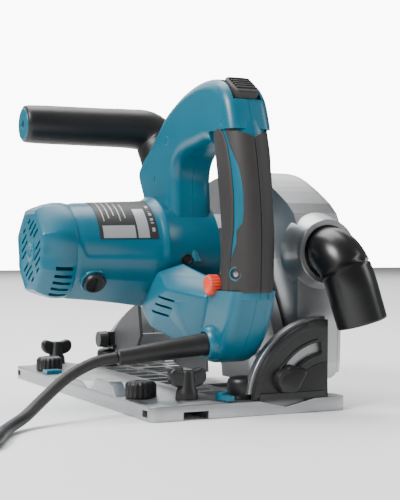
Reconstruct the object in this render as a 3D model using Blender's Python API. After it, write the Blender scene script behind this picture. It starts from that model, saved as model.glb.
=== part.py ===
"""Corded plunge-cut circular saw, as it comes apart on a bench.

World frame: +Y is the cutting direction, +X the blade side, +Z up.
The origin is the centre of the base rectangle, on the sole.
Driving dimensions are in millimetres; meshes are made in metres.
"""
import math

import bmesh
import bpy
from mathutils import Matrix, Vector

MM = 0.001
GAP = 0.3                      # between neighbouring pieces
RUN = 0.6                      # round pieces that slide or turn

# ---- driving dimensions -------------------------------------------------
BASE_W, BASE_L, BASE_T = 163.0, 334.0, 10.7
BASE_CORNER = 9.0
RAIL_X, RAIL_W, RAIL_H = -46.0, 20.0, 6.0       # groove for the guide rail
CUT_LEFT, CUT_REAR = 47.0, -144.5              # blade opening in the base
GEAR_NOTCH_X, GEAR_NOTCH_Y = 17.0, 48.0         # wider where the gear case dips

PIVOT_X, PIVOT_Z = 66.0, 4.5                    # bevel axis, along Y
PIVOT_PIN_R = 2.5
GUIDE_R, GUIDE_T = 65.0, 3.5                    # angle guides
REAR_GUIDE_Y, FRONT_GUIDE_Y = -165.0, 156.5     # their outer faces
BRACKET_R, BRACKET_T = 73.0, 2.9                # sector plates of the case
CLAMP_R, CLAMP_ANGLE = 44.5, 152.0              # clamp bolt on the arc slot
BEVEL_MAX = 48.0
CLAMP_BOLT_R = 3.6

BLADE_D, BLADE_T, BLADE_BORE = 165.0, 1.6, 20.0
BLADE_X, BLADE_TEETH = 68.0, 48
SPINDLE_Y, SPINDLE_Z = -12.0, 94.0
PLUNGE_Y, PLUNGE_Z = -125.0, 35.0               # plunge axis, along X
PLUNGE_MAX = 31.4

CASE_LEFT, CASE_RIGHT, CASE_WALL = 50.0, 86.5, 2.6
COVER_T = 2.6
CASE_TOP = SPINDLE_Z + BLADE_D / 2 + 13.5
CASE_FRONT_Y, CASE_REAR_Y = SPINDLE_Y + BLADE_D / 2 + 26.5, -143.8
CUT_FRONT = CASE_FRONT_Y + 4

PINION_TEETH, GEAR_TEETH = 15, 42
GEAR_CENTRES = 31.0                             # armature to spindle
GEAR_LEAN = 31.4                                # armature sits back by this angle
GEAR_X, GEAR_T = 30.0, 11.0
GEAR_CASE_LEFT, GEAR_CASE_RIGHT = 24.0, 49.3
SPINDLE_CASE_R = 25.2
NECK_R = 14.5
SHAFT_LOCK = (34.0, -6.0, 161.0)                # top of the button

MOTOR_R, MOTOR_WALL = 45.0, 3.0
MOTOR_END_R = MOTOR_R - 8.5
MOTOR_RIGHT, MOTOR_LEFT = 20.0, -100.0
CAP_LEFT, CAP_R = -128.0, MOTOR_END_R - 1.5
STATOR_R, AIR_GAP = MOTOR_R - 7.5, 0.8
CORE_R = STATOR_R - 13
FAN_R, SHAFT_R = MOTOR_R - 9, 4.0

HANDLE_HALF, GRIP_T = 17.0, 3.0                 # half width without the rubber
FRONT_HANDLE_Y, FRONT_HANDLE_Z, FRONT_HANDLE_R = 50.0, 231.0, 16.0
FRONT_HANDLE_LEFT, FRONT_HANDLE_RIGHT = -106.0, 12.0

CORD_D, COIL_R, COIL_TURNS_WIDE, COIL_TURNS_HIGH = 8.6, 50.0, 2, 4
COIL_X, COIL_Y = -285.0, -196.0

ARM_Y = SPINDLE_Y - GEAR_CENTRES * math.sin(math.radians(GEAR_LEAN))
ARM_Z = SPINDLE_Z + GEAR_CENTRES * math.cos(math.radians(GEAR_LEAN))
BASE_TOP = BASE_T + GAP


# ---- small modelling helpers --------------------------------------------
def clear_scene():
    for obj in list(bpy.data.objects):
        bpy.data.objects.remove(obj, do_unlink=True)


def material(name, colour, roughness, metallic=0.0):
    mat = bpy.data.materials.get(name) or bpy.data.materials.new(name)
    mat.use_nodes = True
    shader = mat.node_tree.nodes["Principled BSDF"]
    shader.inputs["Base Color"].default_value = (*colour, 1.0)
    shader.inputs["Roughness"].default_value = roughness
    shader.inputs["Metallic"].default_value = metallic
    return mat


TEAL = material("teal_housing", (0.0, 0.19, 0.28), 0.45)
BLACK = material("black_plastic", (0.012, 0.012, 0.013), 0.45)
RUBBER = material("grip_rubber", (0.045, 0.04, 0.038), 0.75)
SILVER = material("cast_magnesium", (0.52, 0.53, 0.54), 0.4, 0.8)
STEEL = material("steel", (0.45, 0.45, 0.46), 0.3, 1.0)
COPPER = material("copper", (0.55, 0.25, 0.12), 0.35, 1.0)
RED = material("dial_orange", (0.75, 0.06, 0.02), 0.4)
AMBER = material("pointer_amber", (0.6, 0.25, 0.03), 0.4)
GREY = material("dark_grey", (0.08, 0.085, 0.09), 0.5)


def solid(name, verts, faces, mat):
    """A closed mesh object from points in millimetres."""
    mesh = bpy.data.meshes.new(name)
    mesh.from_pydata([Vector(v) * MM for v in verts], [], faces)
    work = bmesh.new()
    work.from_mesh(mesh)
    bmesh.ops.recalc_face_normals(work, faces=work.faces)
    if work.calc_volume(signed=True) < 0:
        bmesh.ops.reverse_faces(work, faces=work.faces)
    work.to_mesh(mesh)
    work.free()
    mesh.materials.append(mat)
    obj = bpy.data.objects.new(name, mesh)
    bpy.context.scene.collection.objects.link(obj)
    return obj


def finish_shape(obj, angle=35.0):
    obj.data.shade_smooth()
    obj.data.set_sharp_from_angle(angle=math.radians(angle))
    return obj


def loft(name, rings, mat, closed=False):
    """Skin rings of equal length; closed joins the last ring to the first."""
    count = len(rings[0])
    verts = [p for ring in rings for p in ring]
    faces = []
    spans = len(rings) if closed else len(rings) - 1
    for i in range(spans):
        j = (i + 1) % len(rings)
        for k in range(count):
            m = (k + 1) % count
            faces.append((i * count + k, i * count + m, j * count + m, j * count + k))
    if not closed:
        faces.append(tuple(range(count)))
        faces.append(tuple(range((len(rings) - 1) * count, len(rings) * count)))
    return solid(name, verts, faces, mat)


def prism(name, outline, axis, low, high, mat):
    """Extrude an outline: (Y, Z) along X, (X, Z) along Y or (X, Y) along Z."""
    place = {
        "X": lambda a, b, c: (c, a, b),
        "Y": lambda a, b, c: (a, c, b),
        "Z": lambda a, b, c: (a, b, c),
    }[axis]
    rings = [[place(a, b, c) for a, b in outline] for c in (low, high)]
    return loft(name, rings, mat)


def block(name, low, high, mat=GREY):
    outline = [(low[0], low[1]), (high[0], low[1]), (high[0], high[1]), (low[0], high[1])]
    return prism(name, outline, "Z", low[2], high[2], mat)


def frame_along(direction):
    """Two unit vectors across a direction."""
    w = Vector(direction).normalized()
    side = Vector((0, 0, 1)) if abs(w.z) < 0.9 else Vector((1, 0, 0))
    u = side.cross(w).normalized()
    return u, w.cross(u).normalized(), w


def circle(centre, direction, radius, sides):
    u, v, _ = frame_along(direction)
    c = Vector(centre)
    turn = [2 * math.pi * (k + 0.5) / sides for k in range(sides)]
    return [c + radius * (math.cos(t) * u + math.sin(t) * v) for t in turn]


def turned(name, start, direction, profile, mat, sides=24):
    """A solid of revolution; profile is (distance along, radius) pairs."""
    _, _, w = frame_along(direction)
    rings = [circle(Vector(start) + w * h, direction, r, sides) for h, r in profile]
    return loft(name, rings, mat)


def sleeve(name, start, direction, length, outer, inner, mat, sides=24):
    """A ring or tube with an open bore."""
    _, _, w = frame_along(direction)
    ends = (Vector(start), Vector(start) + w * length)
    rings = [circle(ends[0], direction, inner, sides), circle(ends[0], direction, outer, sides)]
    rings += [circle(ends[1], direction, outer, sides), circle(ends[1], direction, inner, sides)]
    return loft(name, rings, mat, closed=True)


def arc(cx, cy, radius, start, end, steps):
    """Points on a circle, angles in degrees."""
    turn = [math.radians(start + (end - start) * k / steps) for k in range(steps + 1)]
    return [(cx + radius * math.cos(t), cy + radius * math.sin(t)) for t in turn]


def rounded(points, radius, steps=3):
    """Round every corner of an outline with an arc, limited by its sides."""
    out = []
    for i, p in enumerate(points):
        p = Vector(p)
        a = Vector(points[i - 1]) - p
        b = Vector(points[(i + 1) % len(points)]) - p
        reach = min(radius, 0.45 * a.length, 0.45 * b.length)
        first, last = p + a.normalized() * reach, p + b.normalized() * reach
        for k in range(steps + 1):
            t = k / steps
            q = first * (1 - t) ** 2 + p * 2 * t * (1 - t) + last * t * t
            out.append((q.x, q.y))
    return out


def combine(obj, tool, operation="DIFFERENCE"):
    """Boolean a tool into an object and drop the tool."""
    mod = obj.modifiers.new("shape", "BOOLEAN")
    mod.operation = operation
    mod.object = tool
    bpy.context.view_layer.update()
    graph = bpy.context.evaluated_depsgraph_get()
    mesh = bpy.data.meshes.new_from_object(obj.evaluated_get(graph))
    obj.modifiers.remove(mod)
    obj.data = mesh
    bpy.data.objects.remove(tool, do_unlink=True)
    return obj


def add(obj, tool):
    return combine(obj, tool, "UNION")


def drill(obj, start, direction, length, radius, sides=24):
    tool = turned("drill", start, direction, [(0, radius), (length, radius)], GREY, sides)
    return combine(obj, tool)


def pivot_at(obj, point):
    """Put an object's origin on its joint's axis without moving its shape."""
    shift = Vector(point) * MM
    obj.data.transform(Matrix.Translation(-shift))
    obj.location = shift
    return obj


def tilt_point(radius, angle):
    """A point around the bevel axis, in X and Z."""
    t = math.radians(angle)
    return PIVOT_X + radius * math.cos(t), PIVOT_Z + radius * math.sin(t)


# ---- base -----------------------------------------------------------------
DIAL_X, DIAL_Y, DIAL_R = -66.0, 111.0, 12.1
WING_Y, WING_THREAD_R = 151.0, 4.2
STOP_DIAL_X, STOP_DIAL_R = 3.0, 11.8
STOP_DIAL_Y = {"rear": -144.0, "front": 136.0}
STEM_R = 4.0
LEVER_X, LEVER_Y, LEVER_TRAVEL = -72.0, 84.0, 8.0
LIMIT_X, LIMIT_Y = -17.0, -150.0
FAIRINGS = ((55.0, -36.0, 15.3), (-40.0, -97.0, 21.0))   # front, rear, top
FAIRING_W, FAIRING_SLOPE = 12.0, 16.0


def base_outline():
    right, half = BASE_W / 2, BASE_L / 2
    corners = [(-right, -half), (right, -half), (right, CUT_REAR), (CUT_LEFT, CUT_REAR)]
    corners += [(CUT_LEFT, -GEAR_NOTCH_Y), (GEAR_NOTCH_X, -GEAR_NOTCH_Y)]
    corners += [(GEAR_NOTCH_X, GEAR_NOTCH_Y), (CUT_LEFT, GEAR_NOTCH_Y)]
    corners += [(CUT_LEFT, CUT_FRONT), (right, CUT_FRONT), (right, half), (-right, half)]
    return rounded(corners, BASE_CORNER)


def make_base():
    base = prism("base_plate", base_outline(), "Z", 0, BASE_T, SILVER)
    for front, rear, top in FAIRINGS:
        slope = FAIRING_SLOPE
        low = BASE_T - 1
        side = [(rear, low), (front, low), (front - slope, top), (rear + slope, top)]
        left = -BASE_W / 2
        add(base, prism("fairing", side, "X", left + 0.6, left + FAIRING_W, SILVER))
    half = BASE_L / 2 + 5
    groove = block("groove", (RAIL_X - RAIL_W / 2, -half, -1), (RAIL_X + RAIL_W / 2, half, RAIL_H))
    combine(base, groove)
    for sign in (-1, 1):
        drill(base, (DIAL_X, sign * DIAL_Y, 3), (0, 0, 1), 20, STEM_R + RUN, 16)
        drill(base, (RAIL_X, sign * WING_Y, -1), (0, 0, 1), 20, WING_THREAD_R + RUN, 16)
    for y in STOP_DIAL_Y.values():
        drill(base, (STOP_DIAL_X, y, 3), (0, 0, 1), 20, STEM_R + RUN, 16)
    drill(base, (LIMIT_X, LIMIT_Y, 4), (0, 0, 1), 20, 3 + RUN, 12)
    reach = PIVOT_PIN_R + GAP
    drill(base, (PIVOT_X, -160, PIVOT_Z), (0, 1, 0), 30, reach, 16)
    drill(base, (PIVOT_X, 80, PIVOT_Z), (0, 1, 0), 36, reach, 16)
    return finish_shape(base)


def make_angle_guide(name, outer_y, facing):
    """A quadrant with an arc slot; facing is -1 at the rear and +1 at the front."""
    low, high = sorted((outer_y, outer_y - facing * GUIDE_T))
    start = 90.0
    end = 180 - math.degrees(math.asin((BASE_TOP + 0.2 - PIVOT_Z) / GUIDE_R))
    outline = arc(PIVOT_X, PIVOT_Z, GUIDE_R, start, end, 14)
    outline += [(PIVOT_X - 0.5, BASE_TOP + 0.2)]
    guide = prism(name, outline, "Y", low, high, BLACK)
    foot_low = min(outer_y + facing * 1.8, outer_y - facing * 0.4)
    foot_high = max(outer_y + facing * 1.8, outer_y - facing * 0.4)
    add(guide, block("foot", (6, foot_low, BASE_TOP + 0.2), (62, foot_high, BASE_TOP + 4.5)))
    slot_half = CLAMP_BOLT_R + RUN
    first, last = CLAMP_ANGLE + 6.5, CLAMP_ANGLE - BEVEL_MAX - 6.5
    slot = arc(PIVOT_X, PIVOT_Z, CLAMP_R + slot_half, first, last, 12)
    slot += arc(PIVOT_X, PIVOT_Z, CLAMP_R - slot_half, last, first, 12)
    combine(guide, prism("slot", slot, "Y", low - 5, high + 5, BLACK))
    return finish_shape(guide)


def make_pivot_pins():
    profile = [(0, PIVOT_PIN_R), (15, PIVOT_PIN_R)]
    turned("rear_pivot_pin", (PIVOT_X, -153.5, PIVOT_Z), (0, 1, 0), profile, STEEL, 16)
    turned("front_pivot_pin", (PIVOT_X, 94.5, PIVOT_Z), (0, 1, 0), profile, STEEL, 16)


def make_rail_dial(name, y):
    profile = [(0, STEM_R), (BASE_TOP + 0.2 - 4, STEM_R), (BASE_TOP + 0.2 - 4, DIAL_R - 1)]
    profile += [(BASE_TOP - 2, DIAL_R), (18, DIAL_R), (19.6, DIAL_R - 2)]
    dial = turned(name, (DIAL_X, y, 4), (0, 0, 1), profile, BLACK, 28)
    return pivot_at(finish_shape(dial), (DIAL_X, y, 0))


def make_wing_screw(name, y):
    profile = [(0, WING_THREAD_R), (14, WING_THREAD_R), (14, 7), (27, 6)]
    screw = turned(name, (RAIL_X, y, 7), (0, 0, 1), profile, BLACK, 16)
    wing = rounded([(-14.5, 24), (14.5, 24), (14.5, 36), (4, 33), (-4, 33), (-14.5, 36)], 4)
    wing = [(RAIL_X + x, z) for x, z in wing]
    add(screw, prism("wing", wing, "Y", y - 3, y + 3, BLACK))
    return pivot_at(finish_shape(screw), (RAIL_X, y, 0))


def make_stop_dial(name, y):
    profile = [(0, STEM_R), (BASE_TOP + 0.2 - 4, STEM_R), (BASE_TOP + 0.2 - 4, STOP_DIAL_R)]
    profile += [(21, STOP_DIAL_R), (23.5, STOP_DIAL_R - 3)]
    dial = turned(name, (STOP_DIAL_X, y, 4), (0, 0, 1), profile, BLACK, 28)
    return pivot_at(finish_shape(dial), (STOP_DIAL_X, y, 0))


def make_base_controls():
    make_rail_dial("rear_rail_dial", -DIAL_Y)
    make_rail_dial("front_rail_dial", DIAL_Y)
    make_wing_screw("rear_wing_screw", -WING_Y)
    make_wing_screw("front_wing_screw", WING_Y)
    make_stop_dial("rear_stop_dial", STOP_DIAL_Y["rear"])
    make_stop_dial("front_stop_dial", STOP_DIAL_Y["front"])
    z = BASE_TOP + 0.2
    low = (LEVER_X - 7, LEVER_Y - 6, z)
    slider = block("rail_slide_lever", low, (LEVER_X + 7, LEVER_Y + 6, z + 3), TEAL)
    pivot_at(finish_shape(slider), (LEVER_X, LEVER_Y, z))
    lever = turned("tilt_limit_lever", (LIMIT_X, LIMIT_Y, 5), (0, 0, 1),
                   [(0, 3), (z - 5, 3), (z - 5, 5), (z + 1, 5)], TEAL, 16)
    add(lever, block("arm", (LIMIT_X - 3, LIMIT_Y - 15, z + 0.3), (LIMIT_X + 3, LIMIT_Y, z + 4)))
    pivot_at(finish_shape(lever), (LIMIT_X, LIMIT_Y, 0))


# ---- case, riding on the bevel pivot ---------------------------------------
COLLAR_X, COLLAR_Z, COLLAR_R, COLLAR_L = 71.0, 121.0, 21.0, 11.0
NOZZLE_R, NOZZLE_WALL = 19.4, 2.4
SCALE_Y, SCALE_Z, SCALE_R = 15.0, -109.0, 184.0     # centre and radius of the depth arc
DEPTH_X = 3.0                                       # left face of the depth panel
STOP_ANGLE, STOP_RANGE = 52.4, 19.0


def case_outline(inset=0.0):
    """Side view of the blade case in Y and Z, shrunk by an inset."""
    front, rear, top = CASE_FRONT_Y - inset, CASE_REAR_Y + inset, CASE_TOP - inset
    points = [(rear, 13), (rear - 2, 60), (rear - 4, 149), (-108 + inset, 172 - inset)]
    points += [(-79, top - 5), (-38, top), (22, top - 8), (front - 33, top - 40)]
    points += [(front - 9, top - 84 + inset), (front, 62), (front, 13)]
    return rounded(points, 22.0)


def make_case():
    case = prism("blade_case", case_outline(), "X", CASE_LEFT, CASE_RIGHT, SILVER)
    hollow = prism("hollow", case_outline(CASE_WALL), "X", CASE_LEFT + CASE_WALL, CASE_RIGHT + 5, SILVER)
    combine(case, hollow)
    half = 200
    under = block("under", (CASE_LEFT + CASE_WALL, CASE_REAR_Y + CASE_WALL, -half),
                  (CASE_RIGHT + 5, CASE_FRONT_Y - CASE_WALL, 40))
    combine(case, under)
    bevel = [(CASE_LEFT - 5, 0), (PIVOT_X + 6, 0), (PIVOT_X + 6, 14)]
    bevel += [(CASE_RIGHT + 5, 28), (CASE_RIGHT + 20, 28), (CASE_RIGHT + 20, -40), (0, -40)]
    combine(case, prism("lower_edge", bevel, "Y", -half, half, SILVER))
    cut_spindle_slot(case)
    drill(case, (COLLAR_X - 4, CASE_REAR_Y - 12, COLLAR_Z), (0, 1, 0), 20, NOZZLE_R - 3)
    add_pivot_tongues(case)
    add_case_arms(case)
    add_dust_collar(case)
    return finish_shape(case)


def cut_spindle_slot(case):
    """An arc about the plunge axis, open at the bottom, for the spindle's neck."""
    dy, dz = SPINDLE_Y - PLUNGE_Y, SPINDLE_Z - PLUNGE_Z
    radius, rest = math.hypot(dy, dz), math.degrees(math.atan2(dz, dy))
    half = NECK_R + 1.5
    over = math.degrees(half / radius) + 1
    slot = arc(PLUNGE_Y, PLUNGE_Z, radius + half, rest + over, -22, 12)
    slot += arc(PLUNGE_Y, PLUNGE_Z, radius - half, -22, rest + over, 12)
    combine(case, prism("slot", slot, "X", CASE_LEFT - 5, CASE_LEFT + CASE_WALL + 1, SILVER))


def add_pivot_tongues(case):
    """Ears that hang into the base opening and turn on the two pivot pins."""
    eye = 4.0
    for y in (CASE_REAR_Y, CASE_FRONT_Y - 4):
        tongue = block("tongue", (PIVOT_X - eye, y, PIVOT_Z), (PIVOT_X + eye, y + 4, 24))
        add(tongue, turned("eye", (PIVOT_X, y, PIVOT_Z), (0, 1, 0), [(0, eye), (4, eye)], SILVER, 16))
        add(case, tongue)
        drill(case, (PIVOT_X, y - 1, PIVOT_Z), (0, 1, 0), 6, PIVOT_PIN_R + GAP, 16)


def add_case_arms(case):
    """Arms to the sector plates, and the boss of the plunge pivot."""
    add(case, block("arm", (53, -153, 30), (65, CASE_REAR_Y + 2, 58)))
    add(case, block("arm", (53, CASE_FRONT_Y - 2, 34), (65, 144, 58)))
    turned_boss = turned("boss", (CASE_LEFT - 2, PLUNGE_Y, PLUNGE_Z), (1, 0, 0), [(0, 11), (3, 11)], SILVER)
    add(case, turned_boss)
    add(case, block("rib", (DEPTH_X + 3.3, 84, 18), (CASE_LEFT + 1, 90, 44)))


def make_cover():
    """The right-hand cover of the case, with its lower edge lifted for the bevel."""
    cover = prism("case_cover", case_outline(), "X", CASE_RIGHT + GAP, CASE_RIGHT + GAP + COVER_T, SILVER)
    combine(cover, block("low", (80, -200, 0), (100, 200, 26)))
    drill(cover, (COLLAR_X, -170, COLLAR_Z), (0, 1, 0), 40, COLLAR_R + 3.4 + GAP, 24)
    return finish_shape(cover)


def make_bracket(name, y, facing):
    """A sector plate fixed to the case's arm, just inside the angle guide."""
    low, high = sorted((y, y - facing * BRACKET_T))
    end = 180 - math.degrees(math.asin((BASE_TOP + 1.2 - PIVOT_Z) / BRACKET_R))
    outline = arc(PIVOT_X, PIVOT_Z, BRACKET_R, 88, end, 14)
    outline += [(PIVOT_X - 30, BASE_TOP + 1.2), (PIVOT_X - 2, BASE_TOP + 12)]
    bracket = prism(name, outline, "Y", low, high, SILVER)
    x, z = tilt_point(CLAMP_R, CLAMP_ANGLE)
    drill(bracket, (x, low - 2, z), (0, 1, 0), 10, CLAMP_BOLT_R + RUN, 16)
    near = y - facing * (BRACKET_T - 0.5)
    far = (-153 - GAP) if facing < 0 else (144 + GAP)
    span = sorted((near, far))
    add(bracket, block("pad", (52, span[0], 30), (65.5, span[1], 58)))
    return finish_shape(bracket)


def make_clamp(name, y, facing):
    """Clamp bolt with its lever, outside the angle guide."""
    x, z = tilt_point(CLAMP_R, CLAMP_ANGLE)
    outside = y + facing * (GAP + 0.2)
    depth = GUIDE_T + BRACKET_T + 5
    shank = [(0, CLAMP_BOLT_R), (depth, CLAMP_BOLT_R)]
    start = (x, outside + facing * 0.5, z)
    clamp = turned(name, start, (0, -facing, 0), shank, BLACK, 16)
    add(clamp, turned("hub", (x, outside, z), (0, facing, 0), [(0, 8.5), (9, 7.5)], BLACK, 20))
    arm_low, arm_high = sorted((outside + facing * 3, outside + facing * 9.5))
    arm = rounded([(x - 6, z - 6), (x + 6, z - 6), (x + 22, z + 12), (x + 16, z + 17), (x - 4, z + 6)], 4)
    add(clamp, prism("arm", arm, "Y", arm_low, arm_high, BLACK))
    return pivot_at(finish_shape(clamp), (x, y, z))


def add_dust_collar(case):
    """A round collar on the rear wall, in which the dust nozzle swivels."""
    start = (COLLAR_X, CASE_REAR_Y - 2, COLLAR_Z)
    add(case, sleeve("collar", start, (0, -1, 0), COLLAR_L, COLLAR_R + 3.4, COLLAR_R, SILVER))


def make_nozzle():
    path = nozzle_path()
    outer, inner = [], []
    for i, p in enumerate(path):
        way = path[min(i + 1, len(path) - 1)] - path[max(i - 1, 0)]
        outer.append(circle(p, way, NOZZLE_R, 20))
        inner.append(circle(p, way, NOZZLE_R - NOZZLE_WALL, 20))
    nozzle = loft("dust_nozzle", outer + inner[::-1], BLACK, closed=True)
    pivot_at(finish_shape(nozzle), (COLLAR_X, CASE_REAR_Y, COLLAR_Z))


def nozzle_path():
    """A bend from the collar to the hose end, as a quadratic curve with a straight end."""
    start = Vector((COLLAR_X, CASE_REAR_Y - 5.4, COLLAR_Z))
    a = start + Vector((0, -COLLAR_L + 2, 0))
    b = a + Vector((0, -20, -2))
    c = b + Vector((0.25, -0.1, -0.95)).normalized() * 28
    end = c + (c - b).normalized() * 26
    curve = [a * (1 - t) ** 2 + b * 2 * t * (1 - t) + c * t * t for t in (k / 8 for k in range(9))]
    return [start] + curve + [end]


def make_depth_gear():
    """Depth scale panel with the stop that clamps along its arc."""
    x0, x1 = DEPTH_X, DEPTH_X + 3
    top = arc(SCALE_Y, SCALE_Z, SCALE_R + 5, 49.5, 75, 10)
    outline = top + [(58, 44), (76, 22), (106, 20), (118, 29), (138, 29)]
    panel = prism("depth_scale", outline, "X", x0, x1, GREY)
    finish_shape(panel)
    t = math.radians(STOP_ANGLE)
    y, z = SCALE_Y + SCALE_R * math.cos(t), SCALE_Z + SCALE_R * math.sin(t)
    slide = block("depth_stop", (x0 - 5, y - 6, z - 7), (x0 - GAP, y + 6, z + 7), BLACK)
    add(slide, turned("knob", (x0 - 4, y, z), (-1, 0, 0), [(0, 5), (3, 8), (11, 7.4)], BLACK, 20))
    add(slide, block("pointer", (x0 - 4, y - 11, z - 9), (x0 - 1, y - 3, z - 5)))
    pivot_at(finish_shape(slide), (x0, SCALE_Y, SCALE_Z))


def make_plunge_pivot():
    """Bolt of the plunge axis, fixed in the case's boss, and the lift spring round it."""
    left = 23.0
    bolt = turned("plunge_bolt", (left, PLUNGE_Y, PLUNGE_Z), (1, 0, 0),
                  [(0, 8), (3, 8), (3, 5), (CASE_LEFT - 2 - GAP - left, 5)], STEEL, 20)
    finish_shape(bolt)
    turns, wire, coil = 3, 1.1, 8.2
    steps = 14
    rings = []
    for i in range(turns * steps + 1):
        t = 2 * math.pi * i / steps
        centre = Vector((28 + 2.7 * i / steps, PLUNGE_Y + coil * math.cos(t), PLUNGE_Z + coil * math.sin(t)))
        rings.append(circle(centre, (0.1, -math.sin(t), math.cos(t)), wire, 6))
    finish_shape(loft("lift_spring", rings, STEEL))


# ---- head, riding on the plunge pivot ---------------------------------------
def stadium(y0, z0, r0, y1, z1, r1, steps=8):
    """Outline round two circles."""
    away = math.degrees(math.atan2(z1 - z0, y1 - y0))
    lean = math.degrees(math.asin((r0 - r1) / math.hypot(y1 - y0, z1 - z0)))
    first = arc(y0, z0, r0, away + 90 - lean, away + 270 + lean, steps)
    return first + arc(y1, z1, r1, away - 90 + lean, away + 90 - lean, steps)


def make_gear_case():
    left, right = GEAR_CASE_LEFT, GEAR_CASE_RIGHT
    shape = stadium(ARM_Y, ARM_Z, 33, SPINDLE_Y, SPINDLE_Z, SPINDLE_CASE_R, 10)
    case = prism("gear_housing", shape, "X", left, right, SILVER)
    arm = [(PLUNGE_Y + 6, PLUNGE_Z - 11), (PLUNGE_Y - 8, PLUNGE_Z - 9), (PLUNGE_Y - 12, PLUNGE_Z + 4)]
    arm += [(PLUNGE_Y - 2, PLUNGE_Z + 30), (-96, 118), (-50, 150), (-24, 132), (-30, 86)]
    arm += [(-62, 70), (-100, 46)]
    add(case, prism("arm", rounded(arm, 9), "X", 38, right - 1.6, SILVER))
    add(case, turned("neck", (right - 1, SPINDLE_Y, SPINDLE_Z), (1, 0, 0), [(0, NECK_R), (9, NECK_R - 2)], SILVER))
    inner = stadium(ARM_Y, ARM_Z, 15, SPINDLE_Y, SPINDLE_Z, SPINDLE_CASE_R - 1.1, 18)
    combine(case, prism("gear_space", inner, "X", left - 1, 44, SILVER))
    drill(case, (40, SPINDLE_Y, SPINDLE_Z), (1, 0, 0), 30, 7.4)
    drill(case, (30, PLUNGE_Y, PLUNGE_Z), (1, 0, 0), 30, 5 + GAP, 20)
    drill(case, (SHAFT_LOCK[0], SHAFT_LOCK[1], 136.3), (0, 0, 1), 40, 4 + RUN, 16)
    return finish_shape(case)


def make_bearing_plate():
    plate = prism("bearing_plate", stadium(ARM_Y, ARM_Z, 33, SPINDLE_Y, SPINDLE_Z, SPINDLE_CASE_R, 10),
                  "X", MOTOR_RIGHT + GAP, GEAR_CASE_LEFT - GAP, SILVER)
    drill(plate, (10, ARM_Y, ARM_Z), (1, 0, 0), 30, SHAFT_R + RUN, 20)
    drill(plate, (10, SPINDLE_Y, SPINDLE_Z), (1, 0, 0), 30, 5 + RUN, 20)
    return finish_shape(plate)


def make_motor_housing():
    axis = (1, 0, 0)
    span = MOTOR_RIGHT - MOTOR_LEFT
    profile = ((0, MOTOR_END_R), (26, MOTOR_END_R + 2.5), (72, MOTOR_R), (span, MOTOR_R))
    start = Vector((MOTOR_LEFT, ARM_Y, ARM_Z))
    outer = [circle(start + Vector((h, 0, 0)), axis, r, 32) for h, r in profile]
    inner = [circle(start + Vector((h, 0, 0)), axis, r - MOTOR_WALL, 32) for h, r in profile]
    housing = loft("motor_housing", outer + inner[::-1], TEAL, closed=True)
    for sign in (-1, 1):
        way = Vector((0, *BRUSH_WAY)) * sign
        hole = Vector((BRUSH_X, ARM_Y, ARM_Z)) + way * 30
        drill(housing, hole, way, 30, 8 + GAP, 16)
    return finish_shape(housing)


BRUSH_X = -84.0
BRUSH_WAY = (math.cos(math.radians(218)), math.sin(math.radians(218)))


def make_end_cap():
    axis, centre = (1, 0, 0), Vector((0, ARM_Y, ARM_Z))
    profile = ((CAP_LEFT, 22), (CAP_LEFT + 3, 31), (CAP_LEFT + 11, CAP_R), (MOTOR_LEFT - GAP, MOTOR_END_R))
    outer = [circle(centre + Vector((x, 0, 0)), axis, r, 32) for x, r in profile]
    inside = [(CAP_LEFT + 3, 20)] + [(x + 2.5, r - 3) for x, r in profile[1:3]]
    inside += [(MOTOR_LEFT - GAP, MOTOR_END_R - 3)]
    inner = [circle(centre + Vector((x, 0, 0)), axis, r, 32) for x, r in inside]
    cap = loft("motor_end_cap", outer + inner[::-1], TEAL)
    drill(cap, (CAP_LEFT - 5, ARM_Y, ARM_Z), axis, 12, 3.0, 12)
    for k in range(-2, 3):
        y = ARM_Y + 9.0 * k
        tool = block("vent", (CAP_LEFT - 5, y - 1.6, ARM_Z + 5), (CAP_LEFT + 8, y + 1.6, ARM_Z + 15))
        combine(cap, tool)
        tool = block("vent", (CAP_LEFT - 5, y - 1.6, ARM_Z - 15), (CAP_LEFT + 8, y + 1.6, ARM_Z - 5))
        combine(cap, tool)
    return finish_shape(cap)


def make_motor_inside():
    centre = (0, ARM_Y, ARM_Z)
    sleeve("stator", (-55, *centre[1:]), (1, 0, 0), 43, STATOR_R, CORE_R + AIR_GAP, STEEL, 28)
    sleeve("rear_bearing", (-99, *centre[1:]), (1, 0, 0), 7, 11, SHAFT_R + GAP, STEEL)
    for sign, side in ((1, "lower"), (-1, "upper")):
        way = Vector((0, *BRUSH_WAY)) * sign
        at = Vector((BRUSH_X, ARM_Y, ARM_Z))
        turned(f"{side}_brush", at + way * (12 + GAP), way, [(0, 3.4), (12, 3.4)], GREY, 8)
        top = 42.5 - 34
        turned(f"{side}_brush_cap", at + way * 34, way, [(0, 8), (top, 8), (top + 1, 7)], BLACK, 20)


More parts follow.
